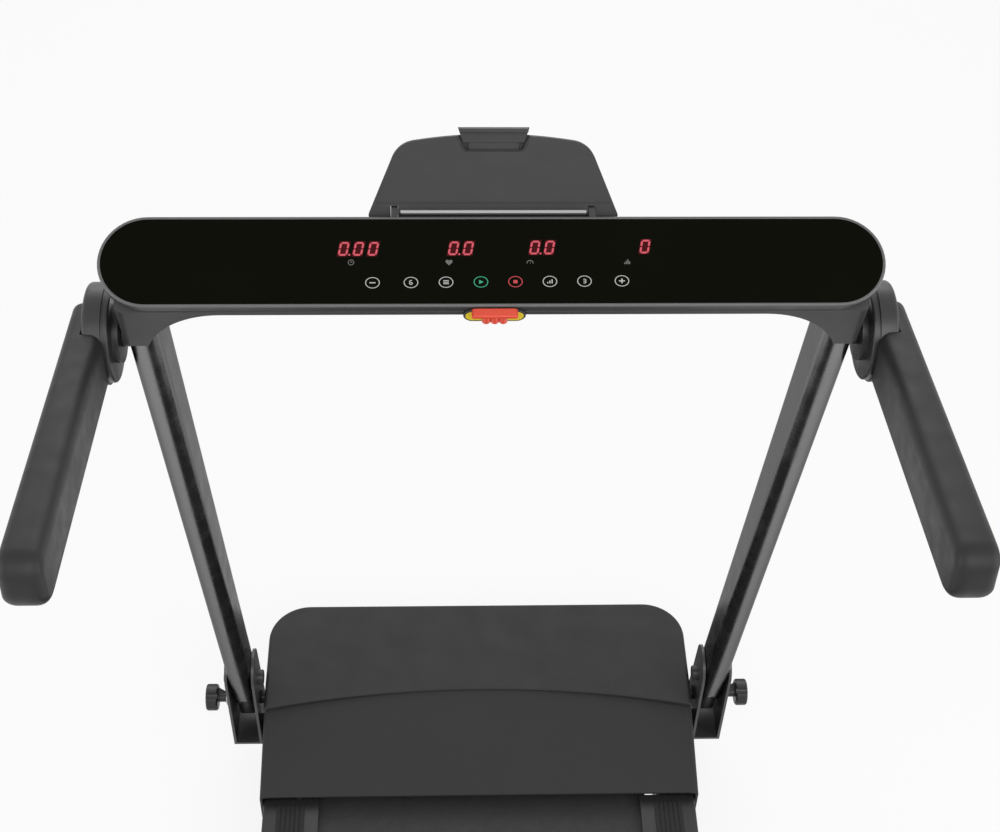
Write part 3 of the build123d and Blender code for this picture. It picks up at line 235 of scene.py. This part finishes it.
# Near-black of the vent slots, painted shade for the dark inside of each opening
vent_painted_shade = surface("vent_painted_shade", grey(0.006), 0.7, specular=0.1, patch=60, grain=1500, depth=0.00002)
belt_rubber = diamond_tread("belt_rubber", grey(0.014), 0.62, 90.0, 0.00035)
drive_rubber = surface("drive_rubber", grey(0.013), 0.6, patch=60, grain=900, depth=0.00005)
print_white = surface("print_white", grey(0.62), 0.5, patch=90, grain=1500, depth=0.00001)
# Pale grey of the strip on the tablet ledge's lip, a painted highlight
lip_highlight_grey = surface("lip_highlight_grey", grey(0.42), 0.4, specular=0.4, spread=0.05, patch=30, grain=1700,
                     depth=0.00002)
led_red = glowing("led_red", (0.62, 0.10, 0.13), 1.0)
led_haze = glowing("led_haze", (0.05, 0.0008, 0.002), 1.0)
# Key rings, signs and pictograms glow by emission; where a mark is printed, that glow is painted light
mark_white = glowing("mark_white", (0.50, 0.50, 0.48), 0.9)
mark_grey = glowing("mark_grey", (0.20, 0.20, 0.19), 0.7)
mark_green = glowing("mark_green", (0.05, 0.36, 0.21), 1.0)
mark_red = glowing("mark_red", (0.52, 0.07, 0.08), 1.0)

finishes = {
    upright_paint: ("upright_left", "upright_right"),
    yoke_paint: ("upright_yoke_left", "upright_yoke_right"),
    frame_paint: ("frame_rail_left", "frame_rail_right", "frame_crossmembers", "roller_brackets",
                  "motor_bay_floor", "motor_saddle", "power_panel"),
    black_steel: ("upright_plugs", "console_screws", "handle_pivot_bolts", "cover_screws", "tension_bolts",
                  "mast_pivot_bolts"),
    steel: ("front_roller", "rear_roller", "roller_axles", "roller_bearings", "motor_shaft",
            "wheel_axles", "tablet_hinge_pins", "motor_pulley"),
    aluminium: ("roller_pulley", "motor_controller"),
    iron: ("flywheel",),
    motor_paint: ("motor_can",),
    cover_plastic: ("motor_cover", "rear_caps"),
    chassis_plastic: ("console_chassis", "console_under_cover"),
    tablet_plastic: ("tablet_plate", "tablet_clip"),
    glass_black: ("console_glass",),
    circuit: ("display_board",),
    rail_black: ("foot_rail_left", "foot_rail_right"),
    belt_rubber: ("running_belt",),
    drive_rubber: ("drive_belt",),
    rubber: ("deck_cushions", "foot_grips", "rubber_feet", "transport_wheel_left", "transport_wheel_right"),
    grip_soft: ("handle_grip_left", "handle_grip_right"),
    board_wood: ("deck_board",),
    hub_plastic: ("handle_arm_left", "handle_arm_right"),
    knob_plastic: ("lock_knob_left", "lock_knob_right"),
    key_red: ("safety_key",),
    socket_yellow: ("key_socket",),
    switch_black: ("power_inlet", "switch_housing", "breaker_body", "breaker_button"),
    rocker_red: ("power_rocker",),
}
for material, names in finishes.items():
    for name in names:
        nodes[name].data.materials.clear()
        nodes[name].data.materials.append(material)


# Mesh helpers
def piece(name, part, material, body, place=Matrix.Identity(4), smooth=False):
    """Makes a piece from verts and faces in millimetres, on a body and with a material slot."""
    verts, faces = part
    mesh = bpy.data.meshes.new(name)
    mesh.from_pydata([place @ (Vector(vert) * MM) for vert in verts], [], faces)
    work = bmesh.new()
    work.from_mesh(mesh)
    bmesh.ops.recalc_face_normals(work, faces=work.faces)
    work.to_mesh(mesh)
    work.free()
    mesh.materials.append(material)
    if smooth:
        mesh.shade_smooth()
        mesh.set_sharp_from_angle(angle=radians(45))
    made = bpy.data.objects.new(name, mesh)
    scene.collection.objects.link(made)
    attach(made, body)
    return made


def plates(outlines, bottom, top):
    """Upright prisms over closed outlines, as one list of verts and faces."""
    verts, faces = [], []
    for outline in outlines:
        first = len(verts)
        count = len(outline)
        verts += [(x, y, bottom) for x, y in outline] + [(x, y, top) for x, y in outline]
        faces.append([first + index for index in range(count)][::-1])
        faces.append([first + count + index for index in range(count)])
        for index in range(count):
            following = (index + 1) % count
            faces.append([first + index, first + following, first + count + following, first + count + index])
    return verts, faces


def looped(rings, close_ends=False):
    """Joins rings of points into a skin; without ends the last ring joins the first."""
    count = len(rings[0])
    verts = [point for ring in rings for point in ring]
    faces = []
    total = len(rings)
    for index in range(total - 1 if close_ends else total):
        here = index * count
        there = (index + 1) % total * count
        for step in range(count):
            after = (step + 1) % count
            faces.append([here + step, there + step, there + after, here + after])
    if close_ends:
        faces.append(list(range(count)))
        faces.append([(total - 1) * count + step for step in range(count)])
    return verts, faces


def ring_plate(x, y, outer, inner, bottom, top, steps=40):
    """A flat ring with square edges."""
    rings = []
    for index in range(steps):
        turn = 2 * pi * index / steps
        rings.append([(x + radius * cos(turn), y + radius * sin(turn), level)
                      for radius, level in ((outer, bottom), (outer, top), (inner, top), (inner, bottom))])
    return looped(rings)


def moved(part, place):
    """The same part turned and shifted by a matrix whose shift is in metres."""
    verts, faces = part
    return [tuple(place @ (Vector(vert) * MM) / MM) for vert in verts], faces


def joined(*parts):
    verts, faces = [], []
    for part_verts, part_faces in parts:
        first = len(verts)
        verts += part_verts
        faces += [[first + index for index in face] for face in part_faces]
    return verts, faces


def tube(path, radius, steps=8):
    """A round bead along a flat path of (x, z) points that runs on the plane y = 0."""
    rings = []
    for index, (x, z) in enumerate(path):
        before = path[max(index - 1, 0)]
        after = path[min(index + 1, len(path) - 1)]
        run = Vector((after[0] - before[0], 0, after[1] - before[1])).normalized()
        side = Vector((run.z, 0, -run.x))
        rings.append([tuple(Vector((x, 0, z)) + radius * (cos(turn) * side + sin(turn) * Vector((0, 1, 0))))
                      for turn in (2 * pi * step / steps for step in range(steps))])
    return looped(rings, close_ends=True)


# Display on the glass
glass_top = local_box("console_glass", console_frame)[1][2]
haze_bottom = glass_top + 0.005
mark_bottom = glass_top + 0.02
mark_top = glass_top + 0.07
segments = {"0": "abcdef", "3": "abcdg", "6": "acdefg"}


def digit(sign, x, y, width, height, stroke, slant):
    """Seven-segment strokes of one digit, x and y being its lower left corner."""
    gap = stroke * 0.12
    middle = height / 2
    half = stroke / 2

    def lean(points):
        return [(x + px + slant * py, y + py) for px, py in points]

    def flat(level):
        return lean([(half + gap, level), (stroke + gap, level - half), (width - stroke - gap, level - half),
                     (width - half - gap, level), (width - stroke - gap, level + half),
                     (stroke + gap, level + half)])

    def upright(side, low, high):
        return lean([(side, low + gap), (side + half, low + half + gap), (side + half, high - half - gap),
                     (side, high - gap), (side - half, high - half - gap), (side - half, low + half + gap)])

    strokes = {
        "a": flat(height - half), "d": flat(half), "g": flat(middle),
        "b": upright(width - half, middle, height - half), "c": upright(width - half, half, middle),
        "e": upright(half, half, middle), "f": upright(half, middle, height - half),
    }
    return [strokes[key] for key in segments[sign]]


def dot(x, y, radius, steps=12):
    turns = [2 * pi * k / steps for k in range(steps)]
    return [(x + radius * cos(turn), y + radius * sin(turn)) for turn in turns]


def bar(x0, y0, x1, y1):
    return [(x0, y0), (x1, y0), (x1, y1), (x0, y1)]


def haze_spot(x, y, width, height, slant, rim):
    """A soft-cornered patch round one digit, where its light spreads under the glass."""
    corner = [(cos(radians(15 * k)), sin(radians(15 * k))) for k in range(7)]
    ends = ((width, height, 0), (0, height, 90), (0, 0, 180), (width, 0, 270))
    patch = []
    for px, py, start in ends:
        turn = radians(start)
        patch += [(px + rim * (c * cos(turn) - s * sin(turn)), py + rim * (c * sin(turn) + s * cos(turn)))
                  for c, s in corner]
    return [(x + px + slant * py, y + py) for px, py in patch]


lit, haze = [], []
digit_width, digit_height, digit_stroke, digit_slant = 8.2, 12.9, 1.7, 0.19
for left, low, count in ((-136.0, 5.2, 3), (-40.6, 5.6, 2), (30.2, 6.2, 2), (126.6, 7.0, 1)):
    for index in range(count):
        start = left + index * 12.8
        lit += digit("0", start, low, digit_width, digit_height, digit_stroke, digit_slant)
        haze.append(haze_spot(start, low, digit_width, digit_height, digit_slant, 0.7))
    if count > 1:
        lit.append(dot(left + digit_width + 2.0, low + 0.9, 0.9))
piece("display_haze", plates(haze, haze_bottom, mark_bottom - 0.005), led_haze, "mast",
      console_frame)
piece("display_digits", plates(lit, mark_bottom, mark_top), led_red, "mast", console_frame)

# Touch keys, each a ring round its sign
key_row, key_squash = -20.0, 0.82
key_rings = {-105.5: mark_white, -72.3: mark_white, -42.0: mark_white, -11.8: mark_green, 18.1: mark_red,
             48.0: mark_white, 78.0: mark_white, 110.6: mark_white}
for number, (x, material) in enumerate(key_rings.items()):
    row = key_row + 0.006 * (x + 105.5)
    if number == 0:
        signs = [bar(x - 2.6, row - 0.6, x + 2.6, row + 0.6)]
    elif number == 7:
        signs = [bar(x - 2.6, row - 0.6, x + 2.6, row + 0.6), bar(x - 0.6, row + 0.6, x + 0.6, row + 2.6),
                 bar(x - 0.6, row - 2.6, x + 0.6, row - 0.6)]
    elif number in (1, 6):
        signs = digit("6" if number == 1 else "3", x - 1.6, row - 2.6, 3.2, 5.2, 0.85, 0.0)
    elif number == 2:
        signs = [bar(x - 2.4, row + level, x + 2.4, row + level + 0.9) for level in (-2.2, -0.45, 1.3)]
    elif number == 3:
        signs = [[(x - 1.6, row - 2.3), (x + 2.4, row), (x - 1.6, row + 2.3)]]
    elif number == 4:
        signs = [bar(x - 1.8, row - 1.8, x + 1.8, row + 1.8)]
    else:
        signs = [bar(x + side - 0.5, row - 2.2, x + side + 0.5, row + rise)
                 for side, rise in ((-1.9, -0.6), (0.0, 0.9), (1.9, 2.3))]
    ring = ring_plate(0, 0, 6.3, 5.55, mark_bottom, mark_top)
    centred = [[(px - x, py - row) for px, py in outline] for outline in signs]
    key = joined(ring, plates(centred, mark_bottom, mark_top))
    drawn = [(x + px, row + key_squash * py, pz) for px, py, pz in key[0]], key[1]
    piece(f"touch_key_{number + 1}", drawn, material, "mast", console_frame)

# Small pictograms under the readings: a clock, a heart, a dial and a row of bars
icon_row = -1.0
icons = [ring_plate(-124.2, icon_row, 2.7, 2.1, mark_bottom, mark_top, 24)]
shapes = [bar(-124.45, icon_row - 0.2, -123.95, icon_row + 1.6),
          bar(-123.95, icon_row - 0.2, -122.9, icon_row + 0.3)]
heart = []
for index in range(28):
    turn = 2 * pi * index / 28
    heart.append((-39.3 + 0.19 * 16 * sin(turn) ** 3,
                  icon_row + 0.19 * (13 * cos(turn) - 5 * cos(2 * turn) - 2 * cos(3 * turn) - cos(4 * turn))))
shapes.append(heart)
shapes.append([(31.1 + radius * cos(pi * k / 12), icon_row - 1.2 + radius * sin(pi * k / 12))
               for radius, span in ((3.1, range(13)), (2.4, range(12, -1, -1))) for k in span])
shapes.append([(30.8, icon_row - 1.2), (31.4, icon_row - 1.2), (32.4, icon_row + 0.7)])
shapes += [bar(115.7 + side - 0.5, icon_row - 2.0, 115.7 + side + 0.5, icon_row + rise)
           for side, rise in ((-2.0, -0.4), (-0.6, 1.0), (0.8, 2.4), (2.2, 0.6))]
icons.append(plates(shapes, mark_bottom, mark_top))
piece("display_icons", joined(*icons), mark_grey, "mast", console_frame)


# Rim band round the glass and dark trim round the key socket
def stadium_band(half_length, radius, profile, steps=24):
    """Sweeps a closed profile of (inset, height) pairs round a long shape with round ends."""
    rings = []
    straight = half_length - radius
    for side, start in ((1, -90), (-1, 90)):
        for index in range(steps + 1):
            turn = radians(start + 180 * index / steps)
            rings.append([(side * straight + (radius - inset) * cos(turn),
                           (radius - inset) * sin(turn), level) for inset, level in profile])
    return looped(rings)


rim_profile = [(-0.10, -1.9), (-0.10, -1.15), (0.35, -0.45), (1.15, 0.08), (2.3, 0.12), (2.62, -0.02),
               (2.62, -0.28), (2.0, -0.6), (0.6, -1.9)]
piece("console_rim", stadium_band(343.0, 42.2, rim_profile), rim_grey, "mast",
      console_frame, smooth=True)
socket_low, socket_high = local_box("key_socket", mast_frame)
socket_radius = (socket_high[2] - socket_low[2]) / 2
socket_place = mast_frame @ Matrix.Translation((0, socket_low[1] * MM, (socket_low[2] + socket_radius) * MM))
trim_profile = [(-0.05, -2.4), (-2.0, -2.4), (-2.0, -0.8), (-1.3, -0.15), (-0.05, -0.03)]
piece("socket_trim", stadium_band(socket_high[0], socket_radius, trim_profile), knob_plastic, "mast",
      socket_place @ facing_user, smooth=True)


# Soft grips on the handles
def rounded_section(x0, x1, z0, z1, radii, steps=7):
    """Points round a box; radii are for the inner top, outer top, outer bottom and inner bottom corner."""
    centres = [(x0 + radii[0], z1 - radii[0], 90, radii[0]), (x0 + radii[3], z0 + radii[3], 180, radii[3]),
               (x1 - radii[2], z0 + radii[2], 270, radii[2]), (x1 - radii[1], z1 - radii[1], 0, radii[1])]
    points = []
    for cx, cz, start, radius in centres:
        for index in range(steps + 1):
            turn = radians(start + 90 * index / steps)
            points.append((cx + radius * cos(turn), cz + radius * sin(turn)))
    return points


def drawn_in(distance, radius):
    """How far a rounded end has drawn in at a distance from its tip."""
    if distance >= radius:
        return 0.0
    return radius - sqrt(radius ** 2 - (radius - distance) ** 2)


def grip_mesh(low, high):
    """A bar with soft edges; its far end is rounded more below than at the top, its near end evenly."""
    top_round, side_round, low_round, near_round = 20.0, 11.0, 30.0, 9.0
    corners = (12.5, 9.5, 10.5, 10.5)
    length = high[1] - low[1]
    distances = [low_round * (1 - cos(radians(6 * k))) for k in range(16)]
    plain = length - low_round - near_round
    distances += [low_round + plain * k / 16 for k in range(1, 17)]
    distances += [length - near_round * (1 - sin(radians(15 * k))) for k in range(1, 7)]
    rings = []
    for distance in distances:
        near = drawn_in(length - distance, near_round)
        side = drawn_in(distance, side_round) + near
        ring = rounded_section(low[0] + side, high[0] - side, low[2] + drawn_in(distance, low_round) + near,
                               high[2] - drawn_in(distance, top_round) - near,
                               [max(2.0, corner - 0.7 * side) for corner in corners])
        rings.append([(x, low[1] + distance, z) for x, z in ring])
    return looped(rings, close_ends=True)


def cut_away(target, part, place):
    """Takes a closed part out of a piece and keeps the result as plain mesh."""
    verts, faces = part
    mesh = bpy.data.meshes.new("cutter")
    mesh.from_pydata([place @ (Vector(vert) * MM) for vert in verts], [], faces)
    work = bmesh.new()
    work.from_mesh(mesh)
    bmesh.ops.recalc_face_normals(work, faces=work.faces)
    work.to_mesh(mesh)
    work.free()
    cutter = bpy.data.objects.new("cutter", mesh)
    scene.collection.objects.link(cutter)
    modifier = target.modifiers.new("cut", "BOOLEAN")
    modifier.object = cutter
    modifier.solver = "EXACT"
    cut_mesh = bpy.data.meshes.new_from_object(target.evaluated_get(bpy.context.evaluated_depsgraph_get()))
    target.modifiers.clear()
    target.data = cut_mesh
    cut_mesh.set_sharp_from_angle(angle=radians(40))
    bpy.data.objects.remove(cutter)


def cross_rod(radius, x0, x1):
    """A closed rod along x round the handle's axis."""
    circle = [(radius * cos(2 * pi * k / 96), radius * sin(2 * pi * k / 96)) for k in range(96)]
    return looped([[(x, y, z) for y, z in circle] for x in (x0, x1)], close_ends=True)


hub_room = cross_rod(47.5, 300.0, 365.5)
bolt_room = cross_rod(14.5, 360.0, 400.0)
for side, turn in (("right", Matrix.Identity(4)), ("left", flip)):
    grip_low, grip_high = local_box(f"handle_grip_{side}", turn @ handle_frame)
    grip = piece(f"soft_grip_{side}", grip_mesh(grip_low, grip_high), grip_soft, f"handle_{side}",
                 turn @ handle_frame, smooth=True)
    cut_away(grip, hub_room, turn @ handle_frame)
    cut_away(grip, bolt_room, turn @ handle_frame)
    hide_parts(f"handle_grip_{side}")


# Bolt heads with a six-sided recess
def socket_cap(radius, height):
    """A chamfered cap round a hexagonal hole, its foot on z = 0."""
    hole = radius * 0.5
    rings = []
    for step in range(48):
        turn = 2 * pi * step / 48
        across = hole * cos(pi / 6) / cos(turn % (pi / 3) - pi / 6)
        rings.append([(reach * cos(turn), reach * sin(turn), level)
                      for reach, level in ((radius, 0.0), (radius, height - 0.35), (radius - 0.45, height),
                                           (across + 0.3, height), (across, height - 0.3), (across, 0.0))])
    return looped(rings)


def facing(axis):
    return Vector(axis).to_track_quat("Z", "Y").to_matrix().to_4x4()


def at(x, y, z):
    return Matrix.Translation((x * MM, y * MM, z * MM))


def cap_set(name, radius, height, spots, material, body):
    caps = [moved(socket_cap(radius, height), place @ facing(axis)) for place, axis in spots]
    piece(name, joined(*caps), material, body)


knob_y, knob_z = 580.75, 101.79
pivot_spots = [(at(side * 286.0, 565, 170), (-side, 0, 0)) for side in (-1, 1)]
stop_spots = [(at(side * 287.5, knob_y, knob_z), (-side, 0, 0)) for side in (-1, 1)]
cap_set("pivot_caps", 9.4, 1.2, pivot_spots, black_steel, "base")
cap_set("stop_caps", 8.4, 1.2, stop_spots, black_steel, "base")
bolt_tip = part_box("handle_pivot_bolts")[1][0] / MM
handle_spots = [(mast_frame @ at(side * bolt_tip, 0, 822), (side, 0, 0)) for side in (-1, 1)]
leg_spots = [(mast_frame @ at(side * 312.0, 35.0, 872), (0, 1, 0)) for side in (-1, 1)]
tension_spots = [(at(side * 228.0, -696, 68), (0, -1, 0)) for side in (-1, 1)]
cover_spots = [(at(side * 287.0, y, 42), (side, 0, 0)) for side in (-1, 1) for y in (458, 630)]
under_spots = [(mast_frame @ at(x, y, 895.5), (0, 0, -1)) for x in (-223, 0, 223) for y in (-15, 15)]
cap_set("handle_caps", 12.8, 1.4, handle_spots, black_steel, "mast")
cap_set("leg_caps", 6.7, 1.0, leg_spots, black_steel, "mast")
cap_set("tension_caps", 6.5, 1.0, tension_spots, black_steel, "base")
cap_set("cover_caps", 4.1, 0.8, cover_spots, black_steel, "base")
cap_set("under_caps", 2.8, 0.7, under_spots, black_steel, "mast")

# Steel washers behind the clamping knobs
washer_profile = ((10.6, 0.0), (10.6, 1.2), (10.0, 1.6), (6.9, 1.6), (6.7, 0.0))
washer = looped([[(reach * cos(2 * pi * k / 48), reach * sin(2 * pi * k / 48), level)
                  for reach, level in washer_profile] for k in range(48)])
for side, name in ((1, "right"), (-1, "left")):
    place = at(side * 339.6, knob_y, knob_z) @ facing((side, 0, 0))
    piece(f"knob_washer_{name}", washer, steel, f"knob_{name}", place, smooth=True)

# Bead round the clip's notch and a pressed line along the foot of the tablet plate
plate_front = -3.5
corner = [(27.6 - 5 + 5 * sin(radians(15 * k)), 54.2 + 5 - 5 * cos(radians(15 * k))) for k in range(7)]
half_bead = corner + [(31.6, 66.6)]
bead_path = [(-x, z) for x, z in reversed(half_bead)] + half_bead
piece("notch_bead", tube(bead_path, 0.8), tablet_plastic, "tablet_holder",
      tablet_frame @ at(0, plate_front - 0.1, 0), smooth=True)
piece("foot_line", tube([(-102 + 8.5 * k, 8.6) for k in range(25)], 0.7), tablet_plastic, "tablet_holder",
      tablet_frame @ at(0, plate_front + 0.1, 0), smooth=True)

# Painted highlight: a pale grey strip on the lip of the tablet's ledge stands in for the light caught along
# the lip
lip_front = local_box("tablet_plate", tablet_frame)[0][1]
lip_highlight_ring = [(lip_front - 0.05, 0.2), (lip_front - 0.5, 0.6), (lip_front - 0.5, 2.3), (lip_front + 0.1, 2.9),
              (lip_front + 1.3, 2.9), (lip_front + 1.4, 2.52), (lip_front - 0.05, 2.52)]
lip_highlight_half = 81.5
lip_highlight = looped([[(x, y, z) for y, z in lip_highlight_ring] for x in (-lip_highlight_half, lip_highlight_half)], close_ends=True)
piece("lip_highlight_strip", lip_highlight, lip_highlight_grey, "tablet_holder", tablet_frame)

# Printed signs on the two faces of the power switch
face_out, face_mid, face_tilt = 6.5, 4.0, radians(9)
for sign, level, tilt in ((plates([bar(-0.45, -1.9, 0.45, 1.9)], 0.02, 0.1), face_mid, face_tilt),
                          (ring_plate(0, 0, 2.0, 1.2, 0.02, 0.1, 24), -face_mid, -face_tilt)):
    face = rocker_frame @ Matrix.Rotation(tilt, 4, "X") @ at(0, face_out, level) @ facing_front
    piece("rocker_line" if level > 0 else "rocker_ring", sign, print_white, "rocker", face)

# Vent slots on the front of the motor cover, each under a small hood; each slot is a thin near-black sheet on
# the cover's face, painted shade for the dark inside of an opening
vent_shade_sheets, vent_hoods = [], []
front_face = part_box("motor_cover")[1][1] / MM
hood_profile = ((0.0, 0.0), (2.2, -0.4), (2.6, -1.2), (0.0, -1.6))
for column in (-145.0, -45.0):
    for row in range(6):
        level = 62.0 + 9.0 * row
        slot_shade = []
        for end, start in ((1, -90), (-1, 90)):
            slot_shade += [(column + end * 37.4 + 2.6 * cos(radians(start + 22.5 * k)),
                      level + 2.6 * sin(radians(start + 22.5 * k))) for k in range(9)]
        vent_shade_sheets.append(slot_shade)
        hood_rings = [[(column + x, front_face + out, level + 3.6 + rise) for out, rise in hood_profile]
                      for x in (-41.0, 41.0)]
        vent_hoods.append(looped(hood_rings, close_ends=True))
# Thin near-black sheets on the cover's face: painted shade in place of open slots
shade_sheet_part = plates([[(-x, z) for x, z in outline] for outline in vent_shade_sheets], 0.02, 0.12)
turned = Matrix.Rotation(radians(180), 4, "Z") @ facing_user
piece("vent_shade_sheets", shade_sheet_part, vent_painted_shade, "base", at(0, front_face, 0) @ turned)
piece("vent_hoods", joined(*vent_hoods), cover_plastic, "base")


# Floor, light and camera
def white_to_eye(tree, plain, bright):
    """Joins two shaders: a bright one for camera, mirror and glass rays, a plain one for soft light."""
    path = tree.nodes.new("ShaderNodeLightPath")
    either = tree.nodes.new("ShaderNodeMath")
    either.operation = "MAXIMUM"
    link(tree, path.outputs["Is Camera Ray"], either.inputs[0])
    link(tree, path.outputs["Is Glossy Ray"], either.inputs[1])
    every = tree.nodes.new("ShaderNodeMath")
    every.operation = "MAXIMUM"
    link(tree, either.outputs["Value"], every.inputs[0])
    link(tree, path.outputs["Is Transmission Ray"], every.inputs[1])
    mix = tree.nodes.new("ShaderNodeMixShader")
    link(tree, every.outputs["Value"], mix.inputs["Fac"])
    link(tree, plain, mix.inputs[1])
    link(tree, bright, mix.inputs[2])
    return mix.outputs["Shader"]


world = bpy.data.worlds.new("studio")
scene.world = world
world.use_nodes = True
tree = world.node_tree
tree.nodes.clear()
soft_sky = add(tree, "ShaderNodeBackground", Color=(1, 1, 1, 1), Strength=0.42)
white_sky = add(tree, "ShaderNodeBackground", Color=(1, 1, 1, 1), Strength=1.0)
world_output = tree.nodes.new("ShaderNodeOutputWorld")
link(tree, white_to_eye(tree, soft_sky.outputs["Background"], white_sky.outputs["Background"]),
     world_output.inputs["Surface"])

floor_material = bpy.data.materials.new("floor_white")
floor_material.use_nodes = True
tree = floor_material.node_tree
tree.nodes.clear()
matte = add(tree, "ShaderNodeBsdfDiffuse", Color=(0.86, 0.86, 0.86, 1))
glow = add(tree, "ShaderNodeEmission", Color=(1, 1, 1, 1), Strength=1.0)
pale = add(tree, "ShaderNodeMixShader", Fac=0.86)
link(tree, matte.outputs["BSDF"], pale.inputs[1])
link(tree, glow.outputs["Emission"], pale.inputs[2])
floor_output = tree.nodes.new("ShaderNodeOutputMaterial")
link(tree, white_to_eye(tree, matte.outputs["BSDF"], pale.outputs["Shader"]), floor_output.inputs["Surface"])
floor_mesh = bpy.data.meshes.new("floor")
reach = 12.0
floor_mesh.from_pydata([(-reach, -reach, -0.0004), (reach, -reach, -0.0004), (reach, reach, -0.0004),
                        (-reach, reach, -0.0004)], [], [(0, 1, 2, 3)])
floor_mesh.materials.append(floor_material)
floor = bpy.data.objects.new("floor", floor_mesh)
scene.collection.objects.link(floor)


def softbox(name, place, target, width, height, power):
    lamp = bpy.data.lights.new(name, "AREA")
    lamp.shape = "RECTANGLE"
    lamp.size = width
    lamp.size_y = height
    lamp.energy = power
    made = bpy.data.objects.new(name, lamp)
    made.location = place
    made.rotation_euler = (Vector(target) - Vector(place)).to_track_quat("-Z", "Y").to_euler()
    scene.collection.objects.link(made)


softbox("key_light", (0.3, -1.9, 3.0), (0, 0.3, 0.8), 2.4, 1.8, 42)
softbox("left_light", (-2.6, -0.6, 1.6), (0, 0.4, 0.7), 1.6, 2.2, 23)
softbox("right_light", (2.6, -0.6, 1.6), (0, 0.4, 0.7), 1.6, 2.2, 29)
softbox("rear_light", (0.0, 3.0, 2.2), (0, 0.3, 0.7), 2.4, 1.6, 22)

# The camera stands behind the user's place and looks down at the console
yaw, pitch, roll = radians(2.72), radians(46.12), radians(1.69)
focal_pixels, picture_width = 1701.0, 1000.0
forward = Vector((sin(yaw) * cos(pitch), cos(yaw) * cos(pitch), -sin(pitch)))
level_right = Vector((cos(yaw), -sin(yaw), 0))
level_up = level_right.cross(forward)
right = cos(roll) * level_right + sin(roll) * level_up
up = cos(roll) * level_up - sin(roll) * level_right
camera_data = bpy.data.cameras.new("camera")
camera_data.sensor_width = 36.0
camera_data.lens = 36.0 * focal_pixels / picture_width
camera_data.clip_start = 0.05
camera = bpy.data.objects.new("camera", camera_data)
camera.matrix_world = Matrix(((right.x, up.x, -forward.x, -0.0443), (right.y, up.y, -forward.y, -0.7555),
                              (right.z, up.z, -forward.z, 2.0422), (0, 0, 0, 1)))
scene.collection.objects.link(camera)
scene.camera = camera
scene.view_settings.view_transform = "Standard"
